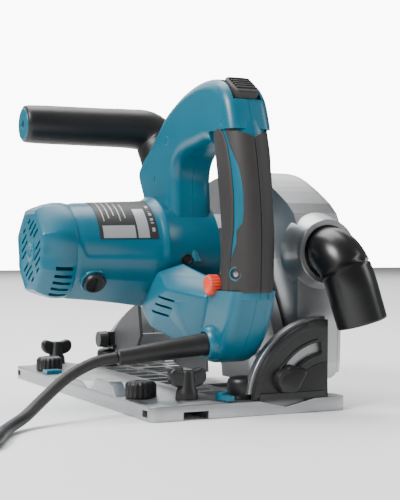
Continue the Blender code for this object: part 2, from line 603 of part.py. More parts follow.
def make_armature():
    """Shaft with its core, commutator and fan; the pinion is cut on the shaft's end."""
    start = (-100, ARM_Y, ARM_Z)
    origin = (0, ARM_Y, ARM_Z)
    core = sleeve("armature_core", (-60, ARM_Y, ARM_Z), (1, 0, 0), 46, CORE_R, SHAFT_R + GAP, COPPER, 28)
    commutator = sleeve("commutator", (-92, ARM_Y, ARM_Z), (1, 0, 0), 18, 12, SHAFT_R + GAP, COPPER)
    shaft = turned("armature_shaft", start, (1, 0, 0), [(0, SHAFT_R), (126, SHAFT_R)], STEEL, 20)
    module = 2 * GEAR_CENTRES / (PINION_TEETH + GEAR_TEETH)
    add(shaft, spur("teeth", ARM_Y, ARM_Z, PINION_TEETH, module, 25.2, 25.2 + GEAR_T + 4, 0.0))
    fan = sleeve("fan", (3, ARM_Y, ARM_Z), (1, 0, 0), 3, FAN_R, SHAFT_R + GAP, BLACK, 24)
    for k in range(8):
        turn = Matrix.Rotation(2 * math.pi * k / 8, 4, "X")
        vane = block("vane", (5.5, -1.2, 14), (13, 1.2, FAN_R - 1), BLACK)
        vane.data.transform(turn)
        vane.data.transform(Matrix.Translation(Vector(origin) * MM))
        add(fan, vane)
    for piece in (core, commutator, shaft, fan):
        pivot_at(finish_shape(piece), origin)


def spur(name, y, z, teeth, module, low, high, turn):
    """A straight spur gear; the trapezium teeth leave running backlash."""
    pitch = teeth * module / 2
    outer, root = pitch + 0.85 * module, pitch - 1.15 * module
    outline = []
    step = 2 * math.pi / teeth
    for k in range(teeth):
        middle = turn + k * step
        for radius, share in ((root, -0.36), (outer, -0.12), (outer, 0.12), (root, 0.36)):
            t = middle + share * step
            outline.append((y + radius * math.cos(t), z + radius * math.sin(t)))
    return prism(name, outline, "X", low, high, STEEL)


def make_spindle_group():
    """Spindle, driven gear, flanges, bolt and blade, all on the spindle's axis."""
    module = 2 * GEAR_CENTRES / (PINION_TEETH + GEAR_TEETH)
    y, z = SPINDLE_Y, SPINDLE_Z
    origin = (BLADE_X, y, z)
    towards = math.atan2(ARM_Z - z, ARM_Y - y)
    # a gap of the gear faces the pinion tooth that points at it
    pinion_at = (towards + math.pi) % (2 * math.pi / PINION_TEETH)
    share = pinion_at / (2 * math.pi / PINION_TEETH)
    gear_turn = towards + (0.5 + share) * 2 * math.pi / GEAR_TEETH
    gear = spur("driven_gear", y, z, GEAR_TEETH, module, GEAR_X, GEAR_X + GEAR_T, gear_turn)
    drill(gear, (GEAR_X - 5, y, z), (1, 0, 0), 30, 6 + GAP, 20)
    shaft = turned("spindle", (21, y, z), (1, 0, 0), [(0, 5), (7, 5), (7, 6), (40, 6)], STEEL, 20)
    flange_end = BLADE_X - BLADE_T / 2 - GAP
    inner = turned("inner_flange", (61 + GAP, y, z), (1, 0, 0),
                   [(0, 18), (flange_end - 61 - GAP, 19)], STEEL)
    face = BLADE_X + BLADE_T / 2 + GAP
    outer = turned("flange_bolt", (face, y, z), (1, 0, 0),
                   [(0, 18), (2.5, 17), (4, 12), (4, 8), (9, 7.5)], STEEL)
    blade = make_blade(y, z)
    for piece in (gear, shaft, inner, outer, blade):
        pivot_at(finish_shape(piece), origin)


def make_blade(y, z):
    rim, depth = BLADE_D / 2, 7.0
    outline = []
    for k in range(BLADE_TEETH):
        t = 2 * math.pi * k / BLADE_TEETH
        step = 2 * math.pi / BLADE_TEETH
        for radius, share in ((rim, 0.0), (rim - 1.5, 0.45), (rim - depth, 0.85)):
            outline.append((y + radius * math.cos(t + share * step), z + radius * math.sin(t + share * step)))
    low, high = BLADE_X - BLADE_T / 2, BLADE_X + BLADE_T / 2
    blade = prism("saw_blade", outline, "X", low, high, STEEL)
    return drill(blade, (low - 3, y, z), (1, 0, 0), 10, BLADE_BORE / 2, 24)


# ---- handle and its controls ---------------------------------------------------
TRIGGER_Y, TRIGGER_Z = -134.0, 190.0
LOCK_Y, LOCK_Z = -150.0, 240.0
DIAL_AT = (-137.0, 96.0)
RELIEF = (-133.0, 52.0)
CAVITY = ((-168.0, 60.0), (-140.5, 232.0))       # Y and Z of the hollow grip
CONTROL_BAY = ((-128.0, 50.0), (-92.0, 78.0))
OPENING = [(-63, 156), (-66, 190), (-88, 201), (-116, 200), (-132, 188), (-134, 120),
           (-126, 98), (-108, 88), (-60, 88)]
BODY = [(14, 187), (-47, 228), (-79, 243), (-121, 252), (-148, 247), (-165, 228), (-173, 198),
        (-178, 140), (-172, 90), (-149, 50), (-130, 37), (-100, 44), (-70, 58), (-52, 70),
        (-28, 84), (10, 110), (6, 160)]


def handle_half(name, side):
    """One moulded half of the D-handle; side is -1 for the left half."""
    low, high = sorted((side * 0.15, side * HANDLE_HALF))
    half = prism(name, rounded(BODY, 16), "X", low, high, TEAL)
    combine(half, prism("opening", rounded(OPENING, 14), "X", -40, 40, TEAL))
    drill(half, (-60, ARM_Y, ARM_Z), (1, 0, 0), 120, MOTOR_R + GAP, 32)
    inner = HANDLE_HALF - 4.0
    for corner_low, corner_high in (CAVITY, CONTROL_BAY):
        combine(half, block("hollow", (-inner, *corner_low), (inner, *corner_high)))
    combine(half, block("trigger_slot", (-8, -145, 148), (8, -126, 195)))
    combine(half, block("button_well", (-11, LOCK_Y - 10.6, LOCK_Z - 14.5), (11, LOCK_Y + 10.6, 262)))
    if side < 0:
        drill(half, (-30, *DIAL_AT), (1, 0, 0), 17.2, 8 + RUN, 20)
    return finish_shape(half)


def make_handle():
    handle_half("handle_left", -1)
    handle_half("handle_right", 1)
    pad = [(-137, 96), (-139, 200), (-150, 212), (-166, 206), (-170, 190), (-168, 130), (-158, 92), (-146, 86)]
    for side, name in ((-1, "grip_left"), (1, "grip_right")):
        near, far = side * (HANDLE_HALF + GAP), side * (HANDLE_HALF + GRIP_T)
        grip = prism(name, rounded(pad, 10), "X", min(near, far), max(near, far), RUBBER)
        if side < 0:
            drill(grip, (-30, *DIAL_AT), (1, 0, 0), 17.2, 8 + RUN, 20)
        finish_shape(grip)


def make_handle_controls():
    trigger = [(-143.5, 152), (-128, 152), (-130, 176), (-132, 191), (-143.5, 191)]
    lever = prism("trigger", rounded(trigger, 5), "X", -7, 7, BLACK)
    pivot_at(finish_shape(lever), (0, TRIGGER_Y, TRIGGER_Z))
    button = rounded([(LOCK_Y - 10, 230), (LOCK_Y + 10, 230), (LOCK_Y + 10, 252), (LOCK_Y - 10, 249)], 3)
    lock = prism("lock_off_button", button, "X", -10.4, 10.4, BLACK)
    pivot_at(finish_shape(lock), (0, LOCK_Y, LOCK_Z))
    dial = turned("speed_dial", (-20.4, *DIAL_AT), (1, 0, 0), [(0, 6), (1.5, 8), (7, 8)], RED, 20)
    pivot_at(finish_shape(dial), (-20, *DIAL_AT))
    block("trigger_switch", (-9, -166, 154), (9, -151, 190), BLACK)
    block("speed_controller", (-11.5, -122, 53), (11.5, -94, 75), BLACK)


def make_front_handle():
    """Tube with a lofted neck that comes down onto the motor housing."""
    y, z, r = FRONT_HANDLE_Y, FRONT_HANDLE_Z, FRONT_HANDLE_R
    span = FRONT_HANDLE_RIGHT - FRONT_HANDLE_LEFT
    tube = turned("front_handle", (FRONT_HANDLE_LEFT, y, z), (1, 0, 0),
                  [(0, r - 1), (4, r), (span - 30, r), (span - 3, r + 1), (span, r - 2)], BLACK, 24)
    sections = (((50, 228), 14, (-24, 10)), ((34, 208), 15, (-18, 14)), ((20, 190.5), 17, (-14, 16)))
    rings = []
    for (cy, cz), half, (left, right) in sections:
        along = Vector((-0.62, -0.78)).orthogonal().normalized() * half
        corners = [(left, -1), (right, -1), (right, 1), (left, 1)]
        rings.append([(x, cy + s * along.x, cz + s * along.y) for x, s in corners])
    add(tube, loft("neck", rings, BLACK))
    combine(tube, prism("handle_space", rounded(BODY, 16), "X", -HANDLE_HALF - 1, HANDLE_HALF + 1, BLACK))
    finish_shape(tube)
    cap = turned("front_handle_cap", (FRONT_HANDLE_LEFT - GAP, y, z), (-1, 0, 0),
                 [(0, r - 1.5), (3, r - 2), (4, r - 5)], TEAL, 24)
    drill(cap, (FRONT_HANDLE_LEFT - 10, y, z), (1, 0, 0), 20, 3.2, 12)
    finish_shape(cap)


def make_shaft_lock():
    lock = turned("shaft_lock", SHAFT_LOCK, (0, 0, -1), [(0, 6), (6, 6), (6, 4), (20, 4)], BLACK, 16)
    pivot_at(finish_shape(lock), SHAFT_LOCK)


# ---- mains lead -----------------------------------------------------------------
RELIEF_TIP = (-94.0, -133.0, 44.0)
LEAD = [(-94.6, -133.0, 43.9), (-112, -133.6, 41), (-133, -137.5, 32), (-153, -145.5, 19),
        (-170, -156.5, 8.6), (-186, -174, 4.7), (-198, -197, 4.6), (-208, -220, 4.6),
        (-221, -238, 4.6), (-238, -248, 4.6), (-251, -250.3, 4.6)]
TAIL = [(-339.8, -160.5, 28.0), (-339.5, -147, 24.8), (-338, -132, 20.8), (-336, -117.3, 18.6)]


def smooth_route(points, spacing):
    """Catmull-Rom through the route's own points, read off every few diameters."""
    pts = [Vector(p) for p in points]
    pts = [2 * pts[0] - pts[1]] + pts + [2 * pts[-1] - pts[-2]]
    out = []
    for i in range(1, len(pts) - 2):
        a, b, c, d = pts[i - 1:i + 3]
        steps = max(1, round((c - b).length / spacing))
        for k in range(steps):
            t = k / steps
            out.append(0.5 * (2 * b + (c - a) * t + (2 * a - 5 * b + 4 * c - d) * t * t
                              + (3 * b - a - 3 * c + d) * t ** 3))
    return out + [pts[-2]]


def cord_tube(name, points):
    curve = bpy.data.curves.new(name, "CURVE")
    curve.dimensions = "3D"
    curve.bevel_depth = CORD_D / 2 * MM
    curve.bevel_resolution = 2
    curve.use_fill_caps = True
    route = smooth_route(points, 2.4 * CORD_D)
    spline = curve.splines.new("POLY")
    spline.points.add(len(route) - 1)
    for point, co in zip(spline.points, route):
        point.co = (*(co * MM), 1.0)
    curve.materials.append(BLACK)
    obj = bpy.data.objects.new(name, curve)
    bpy.context.scene.collection.objects.link(obj)
    return obj


def make_lead():
    side = -HANDLE_HALF - GRIP_T
    profile = [(0, 9), (4, 9), (6, 7.6), (76, 5.8)]
    start = Vector((side + 2, *RELIEF))
    relief = turned("strain_relief", start, Vector(RELIEF_TIP) - start, profile, BLACK, 16)
    finish_shape(relief)
    cord_tube("cord", LEAD)
    cord_tube("cord_tail", TAIL)
    wide, high = CORD_D * COIL_TURNS_WIDE / 2, CORD_D * COIL_TURNS_HIGH
    sleeve("cord_coil", (COIL_X, COIL_Y, GAP), (0, 0, 1), high, COIL_R + wide, COIL_R - wide, BLACK, 36)
    make_plug()


def make_plug():
    """Two-pin plug lying on its side."""
    at, way = Vector((-336, -116, 18.6)), Vector((0, 1, 0))
    rings = []
    for along, wide, tall in ((0, 6.5, 6.5), (14, 7.5, 7.5), (18, 12, 10), (28, 17, 13), (46, 18, 16), (50, 17.5, 15.5)):
        centre = at + way * along
        ring = []
        for k in range(16):
            t = 2 * math.pi * k / 16
            ring.append(centre + Vector((wide * math.cos(t), 0, tall * math.sin(t))))
        rings.append(ring)
    plug = loft("plug", rings, BLACK)
    for x in (-9.5, 9.5):
        pin = turned("pin", at + Vector((x, 49, 0)), way, [(0, 2.4), (19, 2.4), (20, 1.6)], STEEL, 10)
        add(plug, pin)
    finish_shape(plug)


def main():
    clear_scene()
    make_base()
    make_angle_guide("rear_angle_guide", REAR_GUIDE_Y, -1)
    make_angle_guide("front_angle_guide", FRONT_GUIDE_Y, 1)
    make_pivot_pins()
    make_base_controls()
    make_case()
    make_cover()
    make_bracket("rear_tilt_plate", REAR_GUIDE_Y + GUIDE_T + GAP, -1)
    make_bracket("front_tilt_plate", FRONT_GUIDE_Y - GUIDE_T - GAP, 1)
    make_clamp("rear_clamp_lever", REAR_GUIDE_Y, -1)
    make_clamp("front_clamp_lever", FRONT_GUIDE_Y, 1)
    make_nozzle()
    make_depth_gear()
    make_plunge_pivot()
    make_gear_case()
    make_bearing_plate()
    make_motor_housing()
    make_end_cap()
    make_motor_inside()
    make_armature()
    make_spindle_group()
    make_handle()
    make_handle_controls()
    make_front_handle()
    make_shaft_lock()
    make_lead()


main()
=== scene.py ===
# %% [markdown]
# # A corded plunge-cut saw, piece by piece
# The frame holds every rigid part at its real size and place. This lesson gives the parts their real
# surfaces: moulded housings, a rubber grip, cast metal, a blade and a mains lead. Lengths are written in
# millimetres and turned into metres by one factor, because that is how a maker reads a drawing.

# %% Load the frame
import math

import bmesh
import bpy
from mathutils import Matrix, Vector


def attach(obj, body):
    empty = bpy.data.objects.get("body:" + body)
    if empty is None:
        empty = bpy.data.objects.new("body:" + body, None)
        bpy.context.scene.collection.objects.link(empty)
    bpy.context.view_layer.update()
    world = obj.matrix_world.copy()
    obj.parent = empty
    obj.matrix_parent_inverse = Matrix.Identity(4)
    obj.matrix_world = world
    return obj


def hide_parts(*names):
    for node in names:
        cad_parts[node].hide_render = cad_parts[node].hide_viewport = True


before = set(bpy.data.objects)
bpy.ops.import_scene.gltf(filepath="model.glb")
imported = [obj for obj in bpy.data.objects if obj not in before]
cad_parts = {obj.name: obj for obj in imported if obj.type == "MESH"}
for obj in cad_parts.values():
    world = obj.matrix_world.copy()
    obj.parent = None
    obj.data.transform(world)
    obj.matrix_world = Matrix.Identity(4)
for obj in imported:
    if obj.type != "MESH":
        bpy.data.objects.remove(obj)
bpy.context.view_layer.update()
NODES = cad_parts
MM = 0.001

# %% [markdown]
# ## Camera
# The camera stands behind and to the left of the saw, level with the motor, with a long lens, so upright
# edges stay upright. It comes first, because the cord is coiled where this view does not reach.

# %% Camera
VIEW_TURN = 25.3
camera_data = bpy.data.cameras.new("camera")
camera_data.sensor_width = 36.0
camera_data.lens = 84.5
camera = bpy.data.objects.new("camera", camera_data)
camera.location = Vector((-404.7, -932.3, 122.4)) * MM
camera.rotation_euler = (math.radians(90), 0, math.radians(-VIEW_TURN))
bpy.context.scene.collection.objects.link(camera)
bpy.context.scene.camera = camera

# %% [markdown]
# ## Shader groups
# Grain, worn edges and settled dust appear on many finishes. Each is a node group built once, with named
# sockets, so that a material only states how much of it the real surface has.


# %% Group helper
def new_group(name, inputs, outputs):
    """An empty shader group with float inputs (name, default) and outputs."""
    group = bpy.data.node_groups.new(name, "ShaderNodeTree")
    for label, default in inputs:
        socket = group.interface.new_socket(label, in_out="INPUT", socket_type="NodeSocketFloat")
        socket.default_value = default
    for label in outputs:
        group.interface.new_socket(label, in_out="OUTPUT", socket_type="NodeSocketFloat")
    return group, group.nodes.new("NodeGroupInput"), group.nodes.new("NodeGroupOutput")


def math_node(group, operation, first, second, clamp=False):
    node = group.nodes.new("ShaderNodeMath")
    node.operation = operation
    node.use_clamp = clamp
    for socket, value in zip(node.inputs, (first, second)):
        if isinstance(value, (int, float)):
            socket.default_value = value
        else:
            group.links.new(value, socket)
    return node.outputs[0]


def noise_node(group, scale, detail=3.0, vector=None):
    coords = group.nodes.new("ShaderNodeTexCoord")
    noise = group.nodes.new("ShaderNodeTexNoise")
    noise.inputs["Detail"].default_value = detail
    group.links.new(vector or coords.outputs["Object"], noise.inputs["Vector"])
    if isinstance(scale, (int, float)):
        noise.inputs["Scale"].default_value = scale
    else:
        group.links.new(scale, noise.inputs["Scale"])
    return noise.outputs["Fac"]


# %% Grain: the fine texture of a moulded or cast skin
GRAIN, g_in, g_out = new_group("fine_grain", [("Scale", 900.0)], ["Height", "Tone"])
fine = noise_node(GRAIN, g_in.outputs["Scale"], 4.0)
broad = noise_node(GRAIN, 35.0, 2.0)
GRAIN.links.new(fine, g_out.inputs["Height"])
GRAIN.links.new(broad, g_out.inputs["Tone"])

# %% Worn edges: convex edges rubbed bright, broken up by noise
WEAR, w_in, w_out = new_group("edge_wear", [("Amount", 0.3)], ["Mask"])
geometry = WEAR.nodes.new("ShaderNodeNewGeometry")
sharp = math_node(WEAR, "SUBTRACT", geometry.outputs["Pointiness"], 0.52)
sharp = math_node(WEAR, "MULTIPLY", sharp, 14.0, clamp=True)
patchy = math_node(WEAR, "MULTIPLY", noise_node(WEAR, 260.0, 5.0), w_in.outputs["Amount"])
WEAR.links.new(math_node(WEAR, "MULTIPLY", sharp, patchy, clamp=True), w_out.inputs["Mask"])

# %% Dust: a thin film on what faces up
DUST, d_in, d_out = new_group("settled_dust", [("Amount", 0.1)], ["Mask"])
facing = DUST.nodes.new("ShaderNodeNewGeometry")
split = DUST.nodes.new("ShaderNodeSeparateXYZ")
DUST.links.new(facing.outputs["Normal"], split.inputs[0])
upward = math_node(DUST, "MULTIPLY", split.outputs["Z"], noise_node(DUST, 120.0, 6.0), clamp=True)
DUST.links.new(math_node(DUST, "MULTIPLY", upward, d_in.outputs["Amount"], clamp=True), d_out.inputs["Mask"])
print("shader groups:", [g.name for g in bpy.data.node_groups])

# %% [markdown]
# ## Finishes
# One function lays the groups over a Principled shader. The plastic is satin with a visible grain, the
# rubber is matt, the magnesium is a grey cast skin, and turned steel carries a fine grain.


# %% Material maker
def finish(name, colour, rough, metallic=0.0, grain=900.0, bump=0.15, wear=0.0, bare=None, dust=0.06,
           coat=0.0, varied=0.12, bump_depth=0.02):
    """A Principled finish with grain, tone, worn edges and dust."""
    mat = bpy.data.materials.new(name)
    mat.use_nodes = True
    tree = mat.node_tree
    shader = tree.nodes["Principled BSDF"]
    shader.inputs["Metallic"].default_value = metallic
    shader.inputs["Coat Weight"].default_value = coat
    shader.inputs["Coat Roughness"].default_value = 0.15

    def group(which, **values):
        node = tree.nodes.new("ShaderNodeGroup")
        node.node_tree = which
        for label, value in values.items():
            node.inputs[label].default_value = value
        return node

    def blend(first, second, factor):
        node = tree.nodes.new("ShaderNodeMix")
        node.data_type = "RGBA"
        for socket, value in ((node.inputs[6], first), (node.inputs[7], second)):
            if isinstance(value, tuple):
                socket.default_value = (*value, 1.0)
            else:
                tree.links.new(value, socket)
        tree.links.new(factor, node.inputs[0])
        return node.outputs[2]

    skin = group(GRAIN, Scale=grain)
    shade = tuple(c * (1.0 - varied) for c in colour)
    light = tuple(min(1.0, c * (1.0 + varied)) for c in colour)
    tone = blend(shade, light, skin.outputs["Tone"])
    if wear:
        tone = blend(tone, bare or tuple(min(1, c * 2.2 + 0.05) for c in colour),
                     group(WEAR, Amount=wear).outputs["Mask"])
    if dust:
        tone = blend(tone, (0.45, 0.42, 0.38), group(DUST, Amount=dust).outputs["Mask"])
    tree.links.new(tone, shader.inputs["Base Color"])
    spread = tree.nodes.new("ShaderNodeMapRange")
    spread.inputs["To Min"].default_value = max(0.02, rough - 0.06)
    spread.inputs["To Max"].default_value = rough + 0.06
    tree.links.new(skin.outputs["Tone"], spread.inputs["Value"])
    tree.links.new(spread.outputs["Result"], shader.inputs["Roughness"])
    relief = tree.nodes.new("ShaderNodeBump")
    relief.inputs["Strength"].default_value = bump
    relief.inputs["Distance"].default_value = bump_depth * MM
    tree.links.new(skin.outputs["Height"], relief.inputs["Height"])
    tree.links.new(relief.outputs["Normal"], shader.inputs["Normal"])
    return mat


TEAL = finish("teal_housing", (0.0, 0.112, 0.175), 0.34,
              grain=1400, bump=0.5, wear=0.25, dust=0.02, varied=0.06)
RUBBER = finish("grip_rubber", (0.022, 0.020, 0.019), 0.60, grain=2200, bump=0.6, dust=0.04)
BLACK = finish("black_plastic", (0.007, 0.007, 0.0075), 0.42, grain=1200, bump=0.4, wear=0.3, dust=0.03)
GLOSS = finish("gloss_black", (0.004, 0.004, 0.0045), 0.30, grain=700, bump=0.1, dust=0.02)
SILVER = finish("cast_magnesium", (0.40, 0.405, 0.41), 0.36, 0.9, grain=800, bump=0.5, wear=0.2, dust=0.03)
STEEL = finish("turned_steel", (0.42, 0.42, 0.43), 0.28, 1.0, grain=1800, bump=0.2, dust=0.0)
BLADE = finish("blade_steel", (0.50, 0.50, 0.51), 0.25, 1.0, grain=600, bump=0.25, dust=0.02)
DARK_STEEL = finish("laminations", (0.16, 0.16, 0.17), 0.4, 0.9, grain=2600, bump=0.6, dust=0.0)
COPPER = finish("copper", (0.60, 0.27, 0.13), 0.35, 1.0, grain=1500, bump=0.4, dust=0.0)
CARBON = finish("carbon", (0.03, 0.03, 0.03), 0.6, grain=2400, bump=0.5, dust=0.0)
ORANGE = finish("dial_orange", (0.80, 0.06, 0.02), 0.38, grain=1500, bump=0.2, dust=0.0, varied=0.04)
GREY = finish("dark_panel", (0.065, 0.067, 0.07), 0.5, grain=1200, bump=0.4, dust=0.03)
PRINT = finish("printed_silver", (0.40, 0.40, 0.40), 0.38, 0.35, grain=900, bump=0.1, dust=0.0)
INK = finish("ink", (0.02, 0.02, 0.02), 0.5, dust=0.0)
CORD = finish("cord_sheath", (0.011, 0.0105, 0.0105), 0.5, grain=1600, bump=0.5, dust=0.03)
# painted shade: a near-black, teal-tinted disc colour stands in for the shade deep inside the screw wells
HOLE_SHADE = finish("painted_hole_shade", (0.004, 0.02, 0.03), 0.7, dust=0.0)
print("materials:", len(bpy.data.materials))

# %% [markdown]
# ## Mesh helpers
# A moulded part starts as an outline that is extruded and rounded, or as rings that are skinned. Both are
# written once here. A filled 2D curve rounds its own edges, also round a hole, and turns into a mesh.


# %% Meshes from rings
def place(obj, mat, body, sharp=38.0):
    """Finish a piece: material, smooth shading, and the body it rides on."""
    if obj.data.materials:
        obj.data.materials[0] = mat
    else:
        obj.data.materials.append(mat)
    if obj.type == "MESH":
        obj.data.shade_smooth()
        obj.data.set_sharp_from_angle(angle=math.radians(sharp))
    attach(obj, body)
    return obj


def face_outward(mesh, weld=0.0):
    """Weld if asked, and turn every face outward."""
    work = bmesh.new()
    work.from_mesh(mesh)
    if weld:
        bmesh.ops.remove_doubles(work, verts=work.verts, dist=weld)
    bmesh.ops.recalc_face_normals(work, faces=work.faces)
    if work.calc_volume(signed=True) < 0:
        bmesh.ops.reverse_faces(work, faces=work.faces)
    work.to_mesh(mesh)
    work.free()


def mesh_object(name, verts, faces):
    mesh = bpy.data.meshes.new(name)
    mesh.from_pydata([Vector(v) * MM for v in verts], [], faces)
    face_outward(mesh)
    obj = bpy.data.objects.new(name, mesh)
    bpy.context.scene.collection.objects.link(obj)
    return obj


def skin(name, rings, closed=False, round_ring=True, caps=True):
    """Quads between rings of points, with flat caps at open ends."""
    count = len(rings[0])
    verts = [p for ring in rings for p in ring]
    spans = len(rings) if closed else len(rings) - 1
    across = count if round_ring else count - 1
    faces = []
    for i in range(spans):
        j = (i + 1) % len(rings)
        for k in range(across):
            m = (k + 1) % count
            faces.append((i * count + k, i * count + m, j * count + m, j * count + k))
    if caps and not closed:
        faces.append(tuple(range(count)))
        faces.append(tuple(range((len(rings) - 1) * count, len(rings) * count)))
    return mesh_object(name, verts, faces)


def across(direction):
    w = Vector(direction).normalized()
    side = Vector((0, 0, 1)) if abs(w.z) < 0.9 else Vector((1, 0, 0))
    u = side.cross(w).normalized()
    return u, w.cross(u).normalized(), w


def ring(centre, direction, radius, sides=48, wave=0.0, lobes=0):
    """A circle of points, optionally fluted."""
    u, v, _ = across(direction)
    points = []
    for k in range(sides):
        t = 2 * math.pi * k / sides
        r = radius + wave * math.cos(lobes * t)
        points.append(Vector(centre) + r * (math.cos(t) * u + math.sin(t) * v))
    return points


def turned(name, start, direction, profile, sides=48, wave=0.0, lobes=0):
    """A turned or fluted solid; profile is (distance along, radius[, flute share])."""
    _, _, w = across(direction)
    rings = []
    for h, r, *share in profile:
        depth = wave * (share[0] if share else 1)
        rings.append(ring(Vector(start) + w * h, direction, r, sides, depth, lobes))
    return skin(name, rings)


def smooth_loop(points, steps=6):
    """A closed Catmull-Rom curve through the points."""
    out = []
    n = len(points)
    for i in range(n):
        a, b, c, d = (Vector(points[(i + k) % n]) for k in (-1, 0, 1, 2))
        for k in range(steps):
            t = k / steps
            out.append(0.5 * (2 * b + (c - a) * t + (2 * a - 5 * b + 4 * c - d) * t * t
                              + (3 * b - a - 3 * c + d) * t ** 3))
    return out


def rounded(points, radius, steps=5):
    """An outline with its corners rounded."""
    out = []
    for i, p in enumerate(points):
        p = Vector(p)
        a = Vector(points[i - 1]) - p
        b = Vector(points[(i + 1) % len(points)]) - p
        reach = min(radius, 0.45 * a.length, 0.45 * b.length)
        first, last = p + a.normalized() * reach, p + b.normalized() * reach
        for k in range(steps + 1):
            t = k / steps
            out.append(first * (1 - t) ** 2 + p * 2 * t * (1 - t) + last * t * t)
    return out


AXES = {"X": ((0, 0, 1), (1, 0, 0), (0, 1, 0)), "Y": ((1, 0, 0), (0, 0, -1), (0, 1, 0)),
        "Z": ((1, 0, 0), (0, 1, 0), (0, 0, 1))}


def moulding(name, loops, axis, low, high, edge=1.0, steps=4):
    """Extrude outlines (the first outer, the rest holes) along an axis and round every edge."""
    curve = bpy.data.curves.new(name, "CURVE")
    curve.dimensions = "2D"
    curve.fill_mode = "BOTH"
    curve.extrude = ((high - low) / 2 - edge) * MM
    curve.bevel_depth = edge * MM
    curve.bevel_resolution = steps
    curve.offset = -edge * MM
    for loop in loops:
        spline = curve.splines.new("POLY")
        spline.points.add(len(loop) - 1)
        for point, (x, y) in zip(spline.points, loop):
            point.co = (x * MM, y * MM, 0, 1)
        spline.use_cyclic_u = True
    shape = bpy.data.objects.new(name, curve)
    bpy.context.scene.collection.objects.link(shape)
    bpy.context.view_layer.update()
    mesh = bpy.data.meshes.new_from_object(shape.evaluated_get(bpy.context.evaluated_depsgraph_get()))
    bpy.data.objects.remove(shape)
    turn = Matrix(AXES[axis]).to_4x4()
    mesh.transform(turn)
    middle = Vector((low + high, 0, 0)) if axis == "X" else Vector((0, low + high, 0))
    middle = Vector((0, 0, low + high)) if axis == "Z" else middle
    mesh.transform(Matrix.Translation(middle / 2 * MM))
    face_outward(mesh, weld=1e-6)
    mesh.name = name
    obj = bpy.data.objects.new(name, mesh)
    bpy.context.scene.collection.objects.link(obj)
    return obj


def slab(name, low, high, edge=0.5):
    """A box with rounded edges."""
    loop = [(low[0], low[1]), (high[0], low[1]), (high[0], high[1]), (low[0], high[1])]
    return moulding(name, [loop], "Z", low[2], high[2], edge, 3)


def carve(obj, tool, operation="DIFFERENCE"):
    """Boolean a tool into a piece, apply it and drop the tool."""
    mod = obj.modifiers.new("shape", "BOOLEAN")
    mod.operation = operation
    mod.object = tool
    bpy.context.view_layer.update()
    mesh = bpy.data.meshes.new_from_object(obj.evaluated_get(bpy.context.evaluated_depsgraph_get()))
    obj.modifiers.remove(mod)
    old = obj.data
    obj.data = mesh
    bpy.data.meshes.remove(old)
    bpy.data.objects.remove(tool)
    return obj


def merge(name, parts):
    """Several meshes as one object."""
    work = bmesh.new()
    for part in parts:
        part.data.transform(part.matrix_basis)
        work.from_mesh(part.data)
        bpy.data.objects.remove(part)
    mesh = bpy.data.meshes.new(name)
    work.to_mesh(mesh)
    work.free()
    obj = bpy.data.objects.new(name, mesh)
    bpy.context.scene.collection.objects.link(obj)
    return obj


def soften(node, width, mat, segments=2):
    """A CAD node kept as it is, with eased edges and its finish."""
    obj = NODES[node]
    obj.data.materials.clear()
    obj.data.materials.append(mat)
    if width:
        bevel = obj.modifiers.new("eased_edges", "BEVEL")
        bevel.width = width * MM
        bevel.segments = segments
        bevel.limit_method = "ANGLE"
        bevel.angle_limit = math.radians(32)
        bevel.use_clamp_overlap = True
        bevel.harden_normals = False
    obj.data.shade_smooth()
    return obj


# %% [markdown]
# ## The lead
# A rubber lead leaves the handle through a tapered sleeve, sinks to the floor, and the length that is put
# away is wound in a coil of ten to twelve diameters. It is one curve with its true length.

# %% Cord route
CORD_D, COIL_R = 8.6, 47.5
COIL = Vector((-287.5, -198.5, 0.0))
RELIEF_TIP = Vector((-94.0, -133.0, 44.0))
lead = [(-94.6, -133.0, 43.9), (-112, -133.6, 41), (-133, -137.5, 32), (-153, -145.5, 19),
        (-170, -156.5, 8.6), (-186, -174, 4.7), (-198, -197, 4.6), (-208, -220, 4.6),
        (-221, -238, 4.6), (-238, -248, 4.6), (-260, -250.6, 4.6)]
tail = [(-339.8, -160.5, 28.0), (-339.5, -147, 24.8), (-338, -132, 20.8), (-336, -117.3, 18.6)]


def coil_turns():
    """Seven turns, out and in by turns, rising a diameter for each pair."""
    lanes = [(1, 0), (0, 0), (0, 1), (1, 1), (1, 2), (0, 2), (0, 3), (1, 3)]
    points = []
    per_turn = 24
    start, end = -math.pi / 2, math.pi
    total = 2 * math.pi * (len(lanes) - 1) + (start - end) % (2 * math.pi)
    steps = int(total / (2 * math.pi) * per_turn)
    for k in range(1, steps + 1):
        run = k / steps * total / (2 * math.pi)
        lane = min(int(run), len(lanes) - 1)
        nxt = min(lane + 1, len(lanes) - 1)
        share = max(0.0, (run - lane) - 0.75) / 0.25
        share = share * share * (3 - 2 * share)
        side = lanes[lane][0] * (1 - share) + lanes[nxt][0] * share
        level = lanes[lane][1] * (1 - share) + lanes[nxt][1] * share
        radius = COIL_R + (side - 0.5) * CORD_D * 0.98
        angle = start - run * 2 * math.pi
        height = CORD_D / 2 + 0.3 + level * CORD_D
        points.append((COIL.x + radius * math.cos(angle), COIL.y + radius * math.sin(angle), height))
    return points


def through(points, per=4):
    """Catmull-Rom through a route."""
    pts = [Vector(p) for p in points]
    pts = [2 * pts[0] - pts[1]] + pts + [2 * pts[-1] - pts[-2]]
    out = []
    for i in range(1, len(pts) - 2):
        a, b, c, d = pts[i - 1:i + 3]
        for k in range(per):
            t = k / per
            out.append(0.5 * (2 * b + (c - a) * t + (2 * a - 5 * b + 4 * c - d) * t * t
                              + (3 * b - a - 3 * c + d) * t ** 3))
    return out + [pts[-2]]


